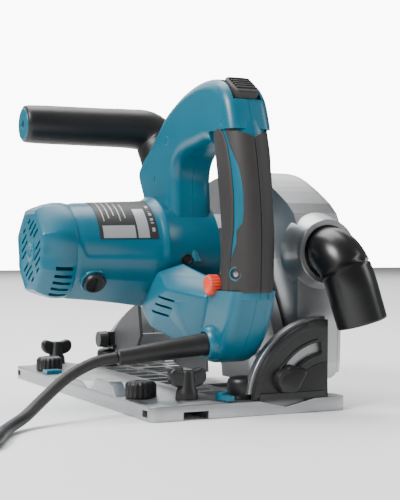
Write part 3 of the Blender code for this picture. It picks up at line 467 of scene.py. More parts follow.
# %% Cord object
route = through(lead + coil_turns() + tail, 3)
cord_curve = bpy.data.curves.new("mains_cord", "CURVE")
cord_curve.dimensions = "3D"
cord_curve.bevel_depth = CORD_D / 2 * MM
cord_curve.bevel_resolution = 4
cord_curve.use_fill_caps = True
spline = cord_curve.splines.new("POLY")
spline.points.add(len(route) - 1)
for point, co in zip(spline.points, route):
    point.co = (*(co * MM), 1)
cord = bpy.data.objects.new("mains_cord", cord_curve)
bpy.context.scene.collection.objects.link(cord)
cord_curve.materials.append(CORD)
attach(cord, "head")
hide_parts("cord", "cord_tail", "cord_coil")

# %% [markdown]
# The sleeve that saves the cord from kinking is a straight taper with a few rings near its root, and the
# plug is a two-pin moulding. Its grip flares from the neck to the face.

# %% Strain relief
relief_start = Vector((-18.0, -133.0, 52.0))
relief_way = RELIEF_TIP - relief_start
relief_profile = [(0, 9.2), (3, 9.2), (4, 8.6), (8, 8.4)]
relief_profile += [(8 + 6.6 * k, 8.4 - 0.26 * k) for k in range(1, 10)]
relief_profile += [(relief_way.length - 1, 6.0), (relief_way.length, 5.2)]
relief = turned("strain_relief_sleeve", relief_start, relief_way, relief_profile, 40)
place(relief, CORD, "head")
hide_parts("strain_relief")

# %% Plug
PLUG = Vector((-336, -116, 18.6))


def oval(centre, wide, tall, sides=40, power=2.6):
    points = []
    for k in range(sides):
        t = 2 * math.pi * k / sides
        c, s = math.cos(t), math.sin(t)
        x = wide * math.copysign(abs(c) ** (2 / power), c)
        z = tall * math.copysign(abs(s) ** (2 / power), s)
        points.append(Vector(centre) + Vector((x, 0, z)))
    return points


plug_shape = [(0, 6.4, 6.4), (2, 6.8, 6.8), (12, 7.4, 7.2), (15, 8.5, 8), (20, 13, 11), (27, 16.4, 13.4),
              (36, 17.2, 14.6), (44, 18, 16), (49, 18, 16), (50, 17.2, 15.2)]
plug = skin("plug_moulding", [oval(PLUG + Vector((0, h, 0)), w, t) for h, w, t in plug_shape])
place(plug, CORD, "head")
PIN_PROFILE = [(0, 2.4), (18, 2.4), (20, 1.4)]
pins = [turned("pin", PLUG + Vector((x, 49, 0)), (0, 1, 0), PIN_PROFILE, 20) for x in (-9.5, 9.5)]
plug_pins = place(merge("plug_pins", pins), STEEL, "head")
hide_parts("plug")

# %% [markdown]
# ## Motor
# The motor housing is a tapered barrel. A raised panel carries the rating plate, a boss surrounds each
# brush cap, and the end cap is an eight-sided shell with slots for the cooling air.

# %% Barrel
AXIS = Vector((0, -28.2, 120.5))
BARREL = [(-100, 36.6), (-97, 37.4), (-74, 39.4), (-52, 42.0), (-36, 44.4), (-26, 45.0), (20, 45.0)]
UPPER = [(-100, 39.6), (-92, 41.0), (-36, 43.2), (-26, 45.0), (20, 45.0)]
FACET, FACET_HALF = 238.0, 26.0     # flat under the rear of the barrel


def lerp_profile(profile, x):
    for (x0, r0), (x1, r1) in zip(profile, profile[1:]):
        if x <= x1:
            t = (x - x0) / (x1 - x0)
            return r0 + (r1 - r0) * t
    return profile[-1][1]


def step(edge0, edge1, x):
    t = max(0.0, min(1.0, (x - edge0) / (edge1 - edge0)))
    return t * t * (3 - 2 * t)


def barrel_radius(x, angle):
    """Radius of the barrel, with its label panel, seam ridge and lower flat."""
    share = step(-0.15, 0.35, math.sin(math.radians(angle)))
    r = lerp_profile(BARREL, x) * (1 - share) + lerp_profile(UPPER, x) * share
    corner = -84 - 26 * math.cos(math.radians((angle - 105) * 0.9))
    panel = step(corner - 2.5, corner + 2.5, x) * step(-27, -30, x)
    panel *= step(70, 84, angle) * step(187, 183, angle)
    r -= 1.0 * panel
    r += 1.0 * step(-28.5, -27.4, x) * step(-22.5, -24, x) * share
    off = abs(angle - FACET)
    if off < FACET_HALF and x < -29:
        flat = r * math.cos(math.radians(FACET_HALF)) / math.cos(math.radians(off))
        r += (flat - r) * step(-29, -32, x)
    return r


def barrel_point(x, angle, lift=0.0):
    t = math.radians(angle)
    r = barrel_radius(x, angle % 360) + lift
    return AXIS + Vector((x, r * math.cos(t), r * math.sin(t)))


stations = [-100, -99.4, -98.4] + [-97 + 1.1 * k for k in range(63)] + [-26, -24, -22, -10, 5, 19, 20]
rings = [[barrel_point(x, a) for a in range(0, 360, 2)] for x in sorted(set(stations))]
barrel = skin("motor_barrel", rings)
place(barrel, TEAL, "head", 50)
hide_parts("motor_housing")

# %% Rating plate: a blank printed plate with bars where lines of print would be
def patch(name, x0, x1, a0, a1, lift, mat, thick=0.35, nx=6, na=10):
    """A thin plate that follows the barrel."""
    rings = []
    for i in range(nx + 1):
        x = x0 + (x1 - x0) * i / nx
        angles = [a0 + (a1 - a0) * k / na for k in range(na + 1)]
        under = [barrel_point(x, a, lift - thick) for a in reversed(angles)]
        rings.append([barrel_point(x, a, lift) for a in angles] + under)
    return place(skin(name, rings), mat, "head")


patch("rating_plate", -82, -33, 96, 165, 0.35, INK)
patch("rating_plate_silver", -79, -52, 149, 164, 0.5, PRINT)
patch("rating_plate_band", -50, -40.5, 124, 164, 0.5, PRINT)
for k in range(5):
    start = -77 + 4.6 * k
    patch(f"rating_line_{k}", start, -76.2 + 4.6 * k, 100 + 3 * k, 143 - 4 * (k % 3), 0.5, PRINT, nx=1)
for k in range(4):
    patch(f"rating_type_{k}", -37.6, -35.2, 118 + 11 * k, 125 + 11 * k, 0.5, PRINT, nx=1)

# %% Brush caps
def brush_cap(name, side, cad):
    way = Vector((0, math.cos(math.radians(218)), math.sin(math.radians(218)))) * side
    at = AXIS + Vector((-84, 0, 0)) + way * 36
    cap = turned(name, at, way, [(0, 9), (4, 9), (5.2, 8.6), (5.6, 7.6), (5.2, 6.8), (5.0, 0.5)], 40)
    u = Vector((1, 0, 0))
    v = way.cross(u)
    for direction in (v,):
        low = at + way * 4.2
        groove = []
        for a, b in ((-0.8, -6), (0.8, -6), (0.8, 6), (-0.8, 6)):
            groove.append(low + u * a + direction * b)
        tool = skin("groove", [groove, [p + way * 4 for p in groove]])
        carve(cap, tool)
    place(cap, BLACK, "head", 30)
    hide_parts(cad)
    boss_profile = [(0, 11.6), (5.5, 11.2), (6.2, 10.6), (6.2, 9.4), (0, 9.4)]
    boss = turned(name + "_boss", at - way * 4, way, boss_profile, 48)
    place(boss, TEAL, "head", 40)


brush_cap("brush_cap_low", 1, "lower_brush_cap")
brush_cap("brush_cap_high", -1, "upper_brush_cap")

# %% End cap
def octagon(x, radius, blend_round):
    """Between an eight-sided outline and a circle, raised on the upper side like the barrel."""
    points = []
    for k in range(96):
        t = 2 * math.pi * k / 96
        part = (t + math.pi / 8) % (math.pi / 4) - math.pi / 8
        flat = radius * math.cos(math.pi / 8) / math.cos(part) * 1.045
        r = flat * (1 - blend_round) + radius * blend_round
        r += 3.2 * step(-0.15, 0.35, math.sin(t))
        points.append(AXIS + Vector((x, r * math.cos(t), r * math.sin(t))))
    return points


cap_rings = [octagon(-99.6, 36.4, 1.0), octagon(-103, 37.2, 0.8), octagon(-110, 37.4, 0.5),
             octagon(-116, 36.4, 0.25), octagon(-121, 34.6, 0.1), octagon(-125.5, 32.4, 0.0),
             octagon(-127.4, 31.0, 0.0), octagon(-127.9, 30.0, 0.0), octagon(-127.5, 29.0, 0.05),
             octagon(-126.6, 28.2, 0.1), octagon(-126.6, 20, 0.5)]
end_cap = skin("end_cap_shell", cap_rings)
SLOT_PITCH, SLOT_REACH = 5.6, 25.0      # spacing of the cooling slots, and the circle they end on
slots = []
for k in range(-4, 5):
    if k == 0:
        continue
    reach = math.sqrt(max(0, SLOT_REACH ** 2 - (k * SLOT_PITCH) ** 2))
    for sign in (-1, 1):
        near = 4.0 if abs(k) > 1 else 11.0
        if reach - near < 6:
            continue
        low, high = (near, reach) if sign > 0 else (-reach, -near)
        slot = slab("slot", (-1.25, low, -4), (1.25, high, 4), 0.9)
        slot.data.transform(Matrix.Translation((k * SLOT_PITCH * MM, 0, 0)))
        slot.data.transform(Matrix.Rotation(math.radians(90), 4, "Y"))
        slot.data.transform(Matrix.Rotation(math.radians(-30), 4, "X"))
        slot.data.transform(Matrix.Translation((AXIS + Vector((-127, 0, 1.6))) * MM))
        slots.append(slot)
carve(end_cap, merge("slots", slots))
side_slots = []
for k in range(5):
    t = math.radians(200 + 11 * k)
    slot = slab("slot", (-117, -1.5, 30), (-103, 1.5, 42), 1.0)
    slot.data.transform(Matrix.Rotation(t - math.pi / 2, 4, "X"))
    slot.data.transform(Matrix.Translation(AXIS * MM))
    side_slots.append(slot)
carve(end_cap, merge("side_slots", side_slots))
place(end_cap, TEAL, "head", 32)
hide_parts("motor_end_cap")
boss = turned("end_cap_boss", AXIS + Vector((-126, 0, 1.6)), (-1, 0, 0),
              [(0, 9.5), (1.3, 9.2), (1.6, 6), (1.1, 5), (1.1, 2.6), (1.7, 2.2), (1.7, 0.4)], 40)
place(boss, TEAL, "head", 30)
print("motor pieces done")

# %% [markdown]
# ## Handle
# The D-handle is two thick shells that meet on the middle plane. The outline is drawn from the side, with
# the finger hole as a second loop, and the edge is rounded until the section is nearly oval.

# %% Shells
HALF = 18.6
LOCK = Vector((0, -149.5, 245.0))       # centre of the lock-off button
LOCK_PLACE = Matrix.Translation(LOCK * MM) @ Matrix.Rotation(math.radians(33.0), 4, "X")
outer_loop = [(15, 190), (-16, 213), (-42, 232.5), (-60, 241), (-82, 248.5), (-108, 253), (-130, 252.5),
              (-147, 247), (-158, 236), (-164.5, 220), (-168.5, 205), (-174, 184), (-177, 160), (-178, 130),
              (-177, 105), (-174, 88), (-167, 70), (-157, 54), (-144, 42), (-128, 36.5), (-108, 38),
              (-88, 46), (-66, 60), (-36, 92), (-8, 104), (4, 130), (2, 160)]
hole_loop = [(-63, 160), (-62, 182), (-70, 195), (-86, 201), (-106, 203.5), (-124, 205), (-133, 199),
             (-136.5, 186), (-137, 150), (-136.5, 118), (-132, 104), (-118, 97), (-96, 92), (-76, 96),
             (-66, 112), (-63, 136)]
for sign, name, node in ((-1, "handle_shell_left", "handle_left"), (1, "handle_shell_right", "handle_right")):
    shell = moulding(name, [smooth_loop(outer_loop, 5), smooth_loop(hole_loop, 5)], "X", -HALF, HALF, 9.0, 7)
    tool = slab("half", (-60 if sign > 0 else 0.12, -300, -50), (-0.12 if sign > 0 else 60, 200, 350), 0.01)
    tool.data.transform(Matrix.Translation((0.24 * MM if sign > 0 else -0.24 * MM, 0, 0)))
    carve(shell, tool)
    carve(shell, slab("grip_gap", (-30, -200, 92), (30, -131, 212), 0.01))
    button_gap = slab("button_gap", (-11.6, -13.4, -13), (11.6, 13.4, 12), 1.5)
    button_gap.data.transform(LOCK_PLACE)
    carve(shell, button_gap)
    place(shell, TEAL, "head", 45)
    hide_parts(node)
    print(name, len(shell.data.polygons), "faces")

# %% Rubber grip: a leaning oval column under rubber skins
GRIP = [(86, -157, 17.2, 22.3), (110, -158.3, 17.2, 22.2), (137, -159.3, 17.3, 22.0),
        (165, -156.5, 18.0, 22.2), (190, -151.8, 18.5, 22.2), (213, -146.0, 18.3, 22.0),
        (236, -140.5, 17.4, 19.0)]
GRIP_POWER = 2.3


def between(table, z):
    """Row of a table at height z, by smooth steps between its rows."""
    z = min(max(z, table[0][0]), table[-1][0])
    for a, b in zip(table, table[1:]):
        if z <= b[0]:
            t = (z - a[0]) / (b[0] - a[0])
            return [a[i] + (b[i] - a[i]) * t for i in range(1, len(a))]
    return list(table[-1][1:])


def grip_point(z, angle, lift=0.0, side=1):
    """A point on the column; angle 0 is the outer side, 90 the back, -90 the finger side."""
    rows = [between(GRIP, z + dz) for dz in (-9, -4, 0, 4, 9)]
    centre, wide, deep = (sum(column) / len(rows) for column in zip(*rows))
    c, s = math.cos(math.radians(angle)), math.sin(math.radians(angle))
    x = -(wide + lift) * math.copysign(abs(c) ** (2 / GRIP_POWER), c)
    y = centre - (deep + lift) * math.copysign(abs(s) ** (2 / GRIP_POWER), s)
    return Vector((x * side, y, z))


def grip_skin(name, edges, side, low, high, lift, depth, mat, rows=54, columns=30):
    """A moulded skin on the column between two edges, each an angle for every height."""
    rings = []
    for i in range(rows + 1):
        z = low + (high - low) * i / rows
        first, last = (edge(z) for edge in edges)
        top = min(1.0, min(i, rows - i) / 1.0)
        outside, inside = [], []
        for k in range(columns + 1):
            t = k / columns
            angle = first + (last - first) * t
            rim = step(0, 0.9, min(k, columns - k)) * top
            outside.append(grip_point(z, angle, lift - 0.55 * (1 - rim), side))
            inside.append(grip_point(z, angle, lift - depth, side))
        rings.append(outside + inside[::-1])
    return place(skin(name, rings), mat, "head", 50)


FRONT_EDGE = [(91, -84), (213, -84), (217, -20)]
STRIP_EDGE = [(91, 7), (104, 9), (114, 10.5), (127, 15), (137, 20), (150, 23.5), (164, 26), (180, 26.5),
              (199, 23),
              (207, 17), (213, 8), (216, -10)]
REAR_EDGE = [(91, 8), (104, 10), (114, 11.5), (121, 20), (127, 28.5), (136.5, 29), (139, 37), (142, 46),
             (152, 51), (164, 52.5), (174, 51), (183, 47.5), (191, 39), (199, 30), (208, 24), (214, 21.5),
             (222, 19), (232, 17)]
TOP_EDGE = [(91, 89.4), (206, 89.4), (208, 76), (209.5, 60), (212, 44), (217, 36), (222, 29.5), (228, 23),
            (232, 18)]


def along(table):
    return lambda z: between(table, z)[0]


for side, word, nodes in ((1, "left", "grip_left"), (-1, "right", "grip_right")):
    core_rows = [86 + 2.5 * k for k in range(54)]
    rings = []
    for z in core_rows:
        outside = [grip_point(z, -89.8 + 179.6 * k / 40, -0.7, side) for k in range(41)]
        rings.append(outside + [Vector((-0.1 * side, p.y, z)) for p in outside[::-1]])
    place(skin("grip_core_" + word, rings), TEAL, "head", 50)
    grip_skin("grip_strip_" + word, (along(FRONT_EDGE), along(STRIP_EDGE)), side, 91, 215.5, 0.4, 1.6,
              RUBBER)
    rear = grip_skin("grip_rear_" + word, (along(REAR_EDGE), along(TOP_EDGE)), side, 91, 231.5, 0.5, 1.7,
                     RUBBER, rows=94)
    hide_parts(nodes)

# %% Screw wells in the left shell
def well(name, y, z, radius=2.9, x=-HALF, screw=False, depth=0.4):
    """A well with a lip, a near-black disc in it as painted shade for the hole's depth, and the head of its
    screw if it shows.
    """
    lip_profile = [(0, radius + 0.9), (depth + 0.3, radius + 0.7), (depth + 0.5, radius + 0.2),
                   (depth - 0.2, radius)]
    lip = turned(name + "_lip", (x + 0.6, y, z), (-1, 0, 0), lip_profile, 32)
    place(lip, TEAL, "head", 40)
    # painted shade: a near-black disc just under the lip stands in for the depth of the hole
    hole_shade_profile = [(0, radius), (depth + 0.1, radius), (depth + 0.12, radius * 0.5)]
    hole_shade = turned(name, (x + 0.7, y, z), (-1, 0, 0), hole_shade_profile, 32)
    place(hole_shade, HOLE_SHADE, "head", 40)
    if screw:
        screw_profile = [(0, 2.2), (0.9, 2.0), (1.0, 1.2)]
        head = turned(name + "_screw", (x + 0.4, y + 0.6, z), (-1, 0, 0), screw_profile, 24)
        place(head, STEEL, "head", 30)


well("well_top", -108, 243.5, 2.4, x=-HALF + 1.3)
well("well_arm", -52, 211.5, 3.0)
well("well_front", -29, 181, 3.0)
well("well_low", -91.5, 59.5, 3.0, screw=True)


def grip_well(name, z, angle, radius, screw=False):
    """A lined well sunk in the rubber, square to its surface, with a near-black disc in it as painted shade.
    """
    at = grip_point(z, angle, 0.4)
    outward = at - grip_point(z, angle, -4)
    lining = [(-1.5, radius + 1.0), (0.1, radius + 1.0), (0.35, radius + 0.5), (0.2, radius), (-1.5, radius)]
    place(turned(name + "_lining", at, outward, lining, 32), TEAL, "head", 40)
    # painted shade: a near-black disc inside the lining stands in for the depth of the hole
    place(turned(name, at, outward, [(-1.4, radius), (-0.5, radius), (-0.4, 0.5)], 32), HOLE_SHADE, "head", 40)
    if screw:
        screw_at = at - outward.normalized() * 0.5 + Vector((0, -0.9, 0))
        head = turned(name + "_screw", screw_at, outward, [(0, 2.3), (0.7, 2.1), (0.8, 1)], 20)
        place(head, STEEL, "head", 30)


grip_well("well_grip_low", 104.9, 28.5, 4.3, True)
grip_well("well_grip_top", 217.9, 22, 3.4)

# %% [markdown]
# ## Controls
# The trigger sits in the front of the grip, the lock-off button on top, and the speed dial in a cut-away
# recess under the finger hole. Each rides on its own body, because each one moves.

# %% Trigger and lock-off button
trigger_loop = smooth_loop([(-143, 153), (-129, 152.5), (-127.5, 158), (-131, 170), (-131, 182), (-134, 191),
                            (-143, 191)], 5)
trigger = moulding("trigger_lever", [trigger_loop], "X", -7, 7, 2.4, 5)
place(trigger, BLACK, "trigger", 50)
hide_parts("trigger")

button_parts = []
for k in range(5):
    y = 3.6 * (k - 2)
    button_parts.append(slab("rib", (-8.4, y - 0.9, 1.6), (8.4, y + 0.9, 3.8), 0.8))
button_loop = smooth_loop([(-9, -11.5), (0, -12.5), (9, -11.5), (11, 0), (9.4, 11), (0, 12.5), (-9.4, 11),
                           (-11, 0)], 5)
button_parts.append(moulding("pad", [button_loop], "Z", -9, 2.5, 1.9, 5))
button = merge("lock_button", button_parts)
button.data.transform(LOCK_PLACE)
place(button, RUBBER, "lock_off_button", 45)
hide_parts("lock_off_button")

# %% Speed dial
dial = turned("speed_wheel", (-23.6, -137, 96), (1, 0, 0),
              [(0, 5.4, 0), (0.6, 6.6, 0.3), (1.6, 7.4, 1), (8.8, 7.6, 1), (9.2, 7.0, 0.5)], 120, 0.42, 20)
place(dial, ORANGE, "speed_dial", 35)
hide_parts("speed_dial")

# %% Control housing: the faceted bulge under the motor that holds the speed electronics
def hull(name, points, edge=1.2, segments=3):
    """A convex block through the points, with its edges eased."""
    mesh = bpy.data.meshes.new(name)
    work = bmesh.new()
    for p in points:
        work.verts.new(Vector(p) * MM)
    result = bmesh.ops.convex_hull(work, input=work.verts)
    loose = {g for g in result["geom_interior"] + result["geom_unused"] if isinstance(g, bmesh.types.BMVert)}
    bmesh.ops.delete(work, geom=list(loose), context="VERTS")
    bmesh.ops.dissolve_limit(work, angle_limit=math.radians(3), verts=work.verts, edges=work.edges)
    bmesh.ops.bevel(work, geom=work.edges[:], offset=edge * MM, segments=segments, affect="EDGES",
                    profile=0.6)
    bmesh.ops.recalc_face_normals(work, faces=work.faces)
    work.to_mesh(mesh)
    work.free()
    obj = bpy.data.objects.new(name, mesh)
    bpy.context.scene.collection.objects.link(obj)
    return obj


bulge = hull("control_housing", [
    (-36, -72, 105), (-40, -46, 76), (-38, -62, 61), (-37, -92, 92), (-20, -130, 86), (-18, -112, 42),
    (-24, -90, 54), (-18, -84, 112), (-10, -46, 104), (-10, -42, 72), (-10, -60, 54), (-10, -126, 100),
    (-10, -122, 48)], 2.4, 4)
AIR_SLOTS = (((-79.2, 85.7), (-110, 80)), ((-73, 79.9), (-104.5, 74.4)), ((-66.9, 74), (-98.8, 68.3)))
for (y0, z0), (y1, z1) in AIR_SLOTS:
    length = math.hypot(y1 - y0, z1 - z0)
    cut = slab("cut", (-3.2, 0, -1.0), (8, length, 1.0), 0.9)
    cut.data.transform(Matrix.Rotation(math.atan2(z1 - z0, y1 - y0), 4, "X"))
    cut.data.transform(Matrix.Rotation(math.radians(-5.0), 4, "Z"))
    cut.data.transform(Matrix.Translation(Vector((-38.2, y0, z0)) * MM))
    carve(bulge, cut)
recess = turned("recess", (-40, -137, 98), (1, 0, 0), [(0, 15), (24.5, 10.5)], 40)
carve(bulge, recess)
place(bulge, TEAL, "head", 40)
plug_way = Vector((-0.25, -0.95, -0.1))
knob = turned("brush_spring_plug", Vector((-9.5, -70.5, 115)), plug_way,
              [(0, 4.8), (3.6, 4.8), (4.6, 4.2), (4.4, 3.2), (3.8, 2.8), (3.8, 0.4)], 32)
place(knob, GLOSS, "head", 30)
fin = hull("barrel_fin", [(-9, -66, 137), (-6, -66, 137), (-14, -66, 112), (2, -66, 112), (-2, -78, 113),
                          (2, -76, 113)], 0.8, 3)
place(fin, TEAL, "head", 40)
collar_ring = turned("cord_collar", relief_start + Vector((3, 0, 0.5)), relief_way,
                     [(0, 13.5), (4.5, 13.2), (7.2, 12.2), (8.6, 10.6), (8.2, 9.3), (0, 9.3)], 48)
place(collar_ring, TEAL, "head", 45)

# %% [markdown]
# ## Front handle
# A plain tapered tube for the second hand, with a neck that sweeps down behind the housing and a push-in
# cap at its end.

# %% Tube and neck
FH = Vector((0, 50, 231))
path = [(-109, 50, 231.5), (-90, 50, 231.5), (-60, 50, 231.5), (-35, 50, 231.5), (-12, 50, 231.5),
        (5, 49.5, 230),
        (14, 47, 222), (16, 42, 212), (14, 34, 202), (10, 25, 193)]
sizes = [16.2, 16.8, 17.0, 17.2, 17.6, 18.6, 20, 20, 18.5, 16]
curve_points = through(path, 4)
rings = []
for i, p in enumerate(curve_points):
    way = curve_points[min(i + 1, len(curve_points) - 1)] - curve_points[max(i - 1, 0)]
    t = i / 4
    k = min(int(t), len(sizes) - 2)
    radius = sizes[k] + (sizes[k + 1] - sizes[k]) * (t - k)
    rings.append(ring(p, way, radius, 48))
rounded_end = [ring((-109, 50, 231.5), (1, 0, 0), 14.6, 48), ring((-108.2, 50, 231.5), (1, 0, 0), 15.8, 48)]
rings = rounded_end + rings[1:]
tube = skin("front_handle_grip", rings)
place(tube, BLACK, "head", 50)
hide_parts("front_handle")
tube_cap = turned("front_handle_plug", (-105.6, FH.y, FH.z), (-1, 0, 0),
                  [(0, 14.6), (3, 14.4), (4.2, 13.2), (4.5, 11), (4.5, 4.2), (2.0, 3.2), (2.0, 0.4)], 56)
place(tube_cap, TEAL, "head", 30)
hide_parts("front_handle_cap")

# %% [markdown]
# ## Base
# The base is cast in magnesium: a flat sole with a rim, ribs between shallow pockets, a raised rib over the
# rail groove, and two fairings along the left edge.

# %% Base plate
def base_loop():
    corners = [(-81.5, -167), (81.5, -167), (81.5, -144.5), (47, -144.5), (47, -48), (17, -48), (17, 48),
               (47, 48), (47, 101), (81.5, 101), (81.5, 167), (-81.5, 167)]
    return rounded(corners, 8.0)


base = moulding("base_casting", [base_loop()], "Z", 0, 10.7, 0.6, 2)
hump = [(-71, 9), (-66, 10.8), (-52, 13.2), (-36, 13.2), (-22, 10.8), (-16, 9)]
carve(base, moulding("hump", [hump], "Y", -166.2, 166.2, 0.3, 2), "UNION")
for front, rear, top in ((55, -36, 15.3), (-40, -97, 21.0)):
    side = [(rear, 9), (front, 9), (front - 14, top), (rear + 14, top)]
    carve(base, moulding("fairing", [rounded(side, 4)], "X", -80.9, -70.0, 0.8, 3), "UNION")
pockets = []


def pocket(x0, x1, y0, y1, floor=5.0):
    outline = rounded([(x0, y0), (x1, y0), (x1, y1), (x0, y1)], 3)
    pockets.append(moulding("pocket", [outline], "Z", floor, 16, 0.05, 1))


for x0, x1 in ((-12, 13),):
    for k in range(9):
        y0 = -118 + 26 * k
        pocket(x0, x1, y0, y0 + 22)
for k in range(3):
    pocket(18, 43, -138 + 30 * k, -112 + 30 * k)
    pocket(20, 43, 54 + 15 * k, 66 + 15 * k)
for x0, x1 in ((18, 32), (36, 53), (57, 76)):
    pocket(x0, x1, 108, 124)
    pocket(x0, x1, 130, 146)
for y0 in (-94, -72, -50):
    pocket(-68.5, -59.5, y0, y0 + 17)
pocket(-77, -74, -146, -128)
carve(base, merge("pockets", pockets))
groove = slab("groove", (-56, -180, -5), (-36, 180, 6), 0.2)
carve(base, groove)
dip = moulding("dip", [[(2, 11.2), (28, 5.2), (57, 11.2), (57, 14), (2, 14)]], "Y", -175, -163.8, 0.05, 1)
carve(base, dip)
for y0, y1 in ((-160.5, -151.5), (151.5, 160.5)):
    carve(base, slab("rod_slot", (-90, y0, 2.6), (-60, y1, 7.6), 0.6))
place(base, SILVER, "base", 28)
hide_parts("base_plate")
print("base faces:", len(base.data.polygons))

# %% Dials, screws and levers on the base
def fluted_dial(name, x, y, node):
    profile = [(0, 10.8, 0), (0.7, 11.6, 0.6), (1.6, 11.7, 1), (9.8, 11.5, 1), (11.6, 10.6, 0.6),
               (12.6, 9, 0), (12.8, 5, 0), (12.2, 4.4, 0), (12.2, 0.4, 0)]
    dial = turned(name, (x, y, 10.9), (0, 0, 1), profile, 144, 0.42, 18)
    place(dial, BLACK, node, 40)
    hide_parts(node)


fluted_dial("rail_dial_rear", -66, -111, "rear_rail_dial")
fluted_dial("rail_dial_front", -66, 111, "front_rail_dial")


def stop_dial(name, x, y, node):
    profile = [(0, 11.4), (0.8, 12), (11.4, 12), (14, 11.4), (15.6, 9.8), (16.3, 7), (16.4, 0.5)]
    dial = turned(name, (x, y, 10.9), (0, 0, 1), profile, 64)
    place(dial, BLACK, node, 50)
    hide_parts(node)


stop_dial("angle_stop_rear", 3, -145.5, "rear_stop_dial")
stop_dial("angle_stop_front", 3, 136, "front_stop_dial")


def wing_screw(name, y, node):
    x = -46
    stem_profile = [(0, 8.2), (1.5, 8.6), (7, 8.0), (10, 6.6), (20, 5.8), (22, 5)]
    stem = turned("stem", (x, y, 12), (0, 0, 1), stem_profile, 40)
    loop = smooth_loop([(-14.3, 27), (-9, 22.5), (0, 21.5), (9, 22.5), (14.3, 27), (14.3, 33.5), (10.5, 36),
                        (6, 34.8), (0, 33.8), (-6, 34.8), (-10.5, 36), (-14.3, 33.5)], 5)
    wing = moulding("wing", [[(x + p.x, p.y) for p in loop]], "Y", y - 4.2, y + 4.2, 2.6, 5)
    thread = [(0.5 * k, 4.2 - 0.35 * (k % 2)) for k in range(12)]
    screw = turned("thread", (x, y, 7), (0, 0, 1), thread, 24)
    piece = place(merge(name, [stem, wing, screw]), BLACK, node, 45)
    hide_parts(node)


wing_screw("wing_screw_rear", -151, "rear_wing_screw")
wing_screw("wing_screw_front", 151, "front_wing_screw")

# %% [markdown]
# ## Blade case, guides and nozzle
# The cast case keeps its CAD shape with eased edges. The tilt plates are ring sectors about the bevel
# axis, the guides get raised rims, and the nozzle is a smooth bent tube in glossy black in a cast cone.

# %% Carried-over parts with their finishes
for node, width, mat in (
        ("blade_case", 1.2, SILVER), ("case_cover", 0.9, SILVER), ("gear_housing", 1.6, SILVER),
        ("bearing_plate", 0.4, SILVER),
        ("rear_angle_guide", 0.6, BLACK), ("front_angle_guide", 0.6, BLACK),
        ("front_clamp_lever", 1.4, BLACK), ("shaft_lock", 0.5, BLACK),
        ("tilt_limit_lever", 0.6, TEAL), ("rail_slide_lever", 0.6, TEAL), ("depth_scale", 0.4, GREY),
        ("depth_stop", 0.6, BLACK), ("trigger_switch", 0.6, BLACK), ("speed_controller", 0.6, BLACK),
        ("saw_blade", 0, BLADE), ("spindle", 0.3, STEEL), ("driven_gear", 0, STEEL),
        ("inner_flange", 0.4, STEEL),
        ("flange_bolt", 0.4, STEEL), ("armature_shaft", 0, STEEL), ("rear_bearing", 0.4, STEEL),
        ("plunge_bolt", 0.4, STEEL), ("lift_spring", 0, STEEL), ("rear_pivot_pin", 0.3, STEEL),
        ("front_pivot_pin", 0.3, STEEL), ("stator", 0.5, DARK_STEEL), ("armature_core", 0.5, COPPER),
        ("commutator", 0.3, COPPER), ("fan", 0.3, BLACK), ("lower_brush", 0.2, CARBON),
        ("upper_brush", 0.2, CARBON)):
    soften(node, width, mat)

# %% Tilt plates and the rims of the angle guides
BEVEL = Vector((66, 0, 4.5))        # the tilt axis runs along Y here


def sector(name, inner, outer, y, first, last, edge, count=28):
    """A ring sector about the tilt axis, between two Y planes."""
    angles = [math.radians(first + (last - first) * k / count) for k in range(count + 1)]
    loop = [(BEVEL.x + outer * math.cos(t), BEVEL.z + outer * math.sin(t)) for t in angles]
    loop += [(BEVEL.x + inner * math.cos(t), BEVEL.z + inner * math.sin(t)) for t in reversed(angles)]
    return moulding(name, [loop], "Y", min(y), max(y), edge, 3)


for word, outward in (("rear", -1), ("front", 1)):
    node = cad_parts[word + "_tilt_plate"]
    ys = [(node.matrix_world @ Vector(c)).y / MM for c in node.bound_box]
    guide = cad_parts[word + "_angle_guide"]
    guide_ys = [(guide.matrix_world @ v.co).y / MM for v in guide.data.vertices
                if (guide.matrix_world @ v.co).z / MM > 30]
    plate = sector(word + "_tilt_sector", 5, 67.5, (min(ys), max(ys)), 90, 171, 0.9)
    place(plate, SILVER, "case", 40)
    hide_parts(word + "_tilt_plate")
    face = min(guide_ys) if outward < 0 else max(guide_ys)
    for name, inner, outer, first, last, rise in (
            ("rim", 60.5, 65.0, 106 if outward < 0 else 91, 172, 1.6),
            ("slot_rim_outer", 49.4, 51.4, 100, 158, 0.9),
            ("slot_rim_inner", 37.6, 39.6, 98, 158, 0.9), ("web", 2.0, 33.0, 92, 165, 0.5)):
        ends = (face + 0.5 * -outward, face + rise * outward)
        raised = sector(f"{word}_guide_{name}", inner, outer, ends, first, last, 0.4)
        place(raised, BLACK, "base", 40)
    print(word, "guide face at", round(face, 1), "plate", [round(v, 1) for v in (min(ys), max(ys))])

# %% Rear clamp lever: a thick paddle on its bolt
bolt = Vector((26.7, 0, 25.4))
paddle = hull("paddle", [
    (18.5, -165, 28), (30, -165, 37.5), (45.5, -165, 33.5), (35, -165, 15), (22, -165, 15.5),
    (19.5, -171, 27), (30, -171, 35.5), (44, -174, 32), (34, -174, 16.5), (23, -171, 17)], 1.8, 4)
hub_profile = [(0, 8.5), (9, 8.3), (11.5, 7.2), (11.8, 5), (11.2, 4.2), (11.2, 0.5)]
hub = turned("hub", bolt + Vector((0, -160.2, 0)), (0, -1, 0), hub_profile, 40)
shank = turned("shank", bolt + Vector((0, -160.6, 0)), (0, 1, 0), [(0, 3.6), (10, 3.6)], 24)
lever = merge("rear_clamp_paddle", [paddle, hub, shank])
place(lever, BLACK, "rear_clamp", 40)
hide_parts("rear_clamp_lever")

# %% Cast cone that holds the nozzle
cone_profile = [(0, 31), (5, 30.5), (10, 28.6), (16, 26.0), (19.2, 25.3), (20, 24.6), (20, 21), (12, 20.4),
                (0, 20.2)]
cone = turned("nozzle_cone", (71, -137, 121), (0, -1, 0), cone_profile, 64)
place(cone, SILVER, "case", 40)

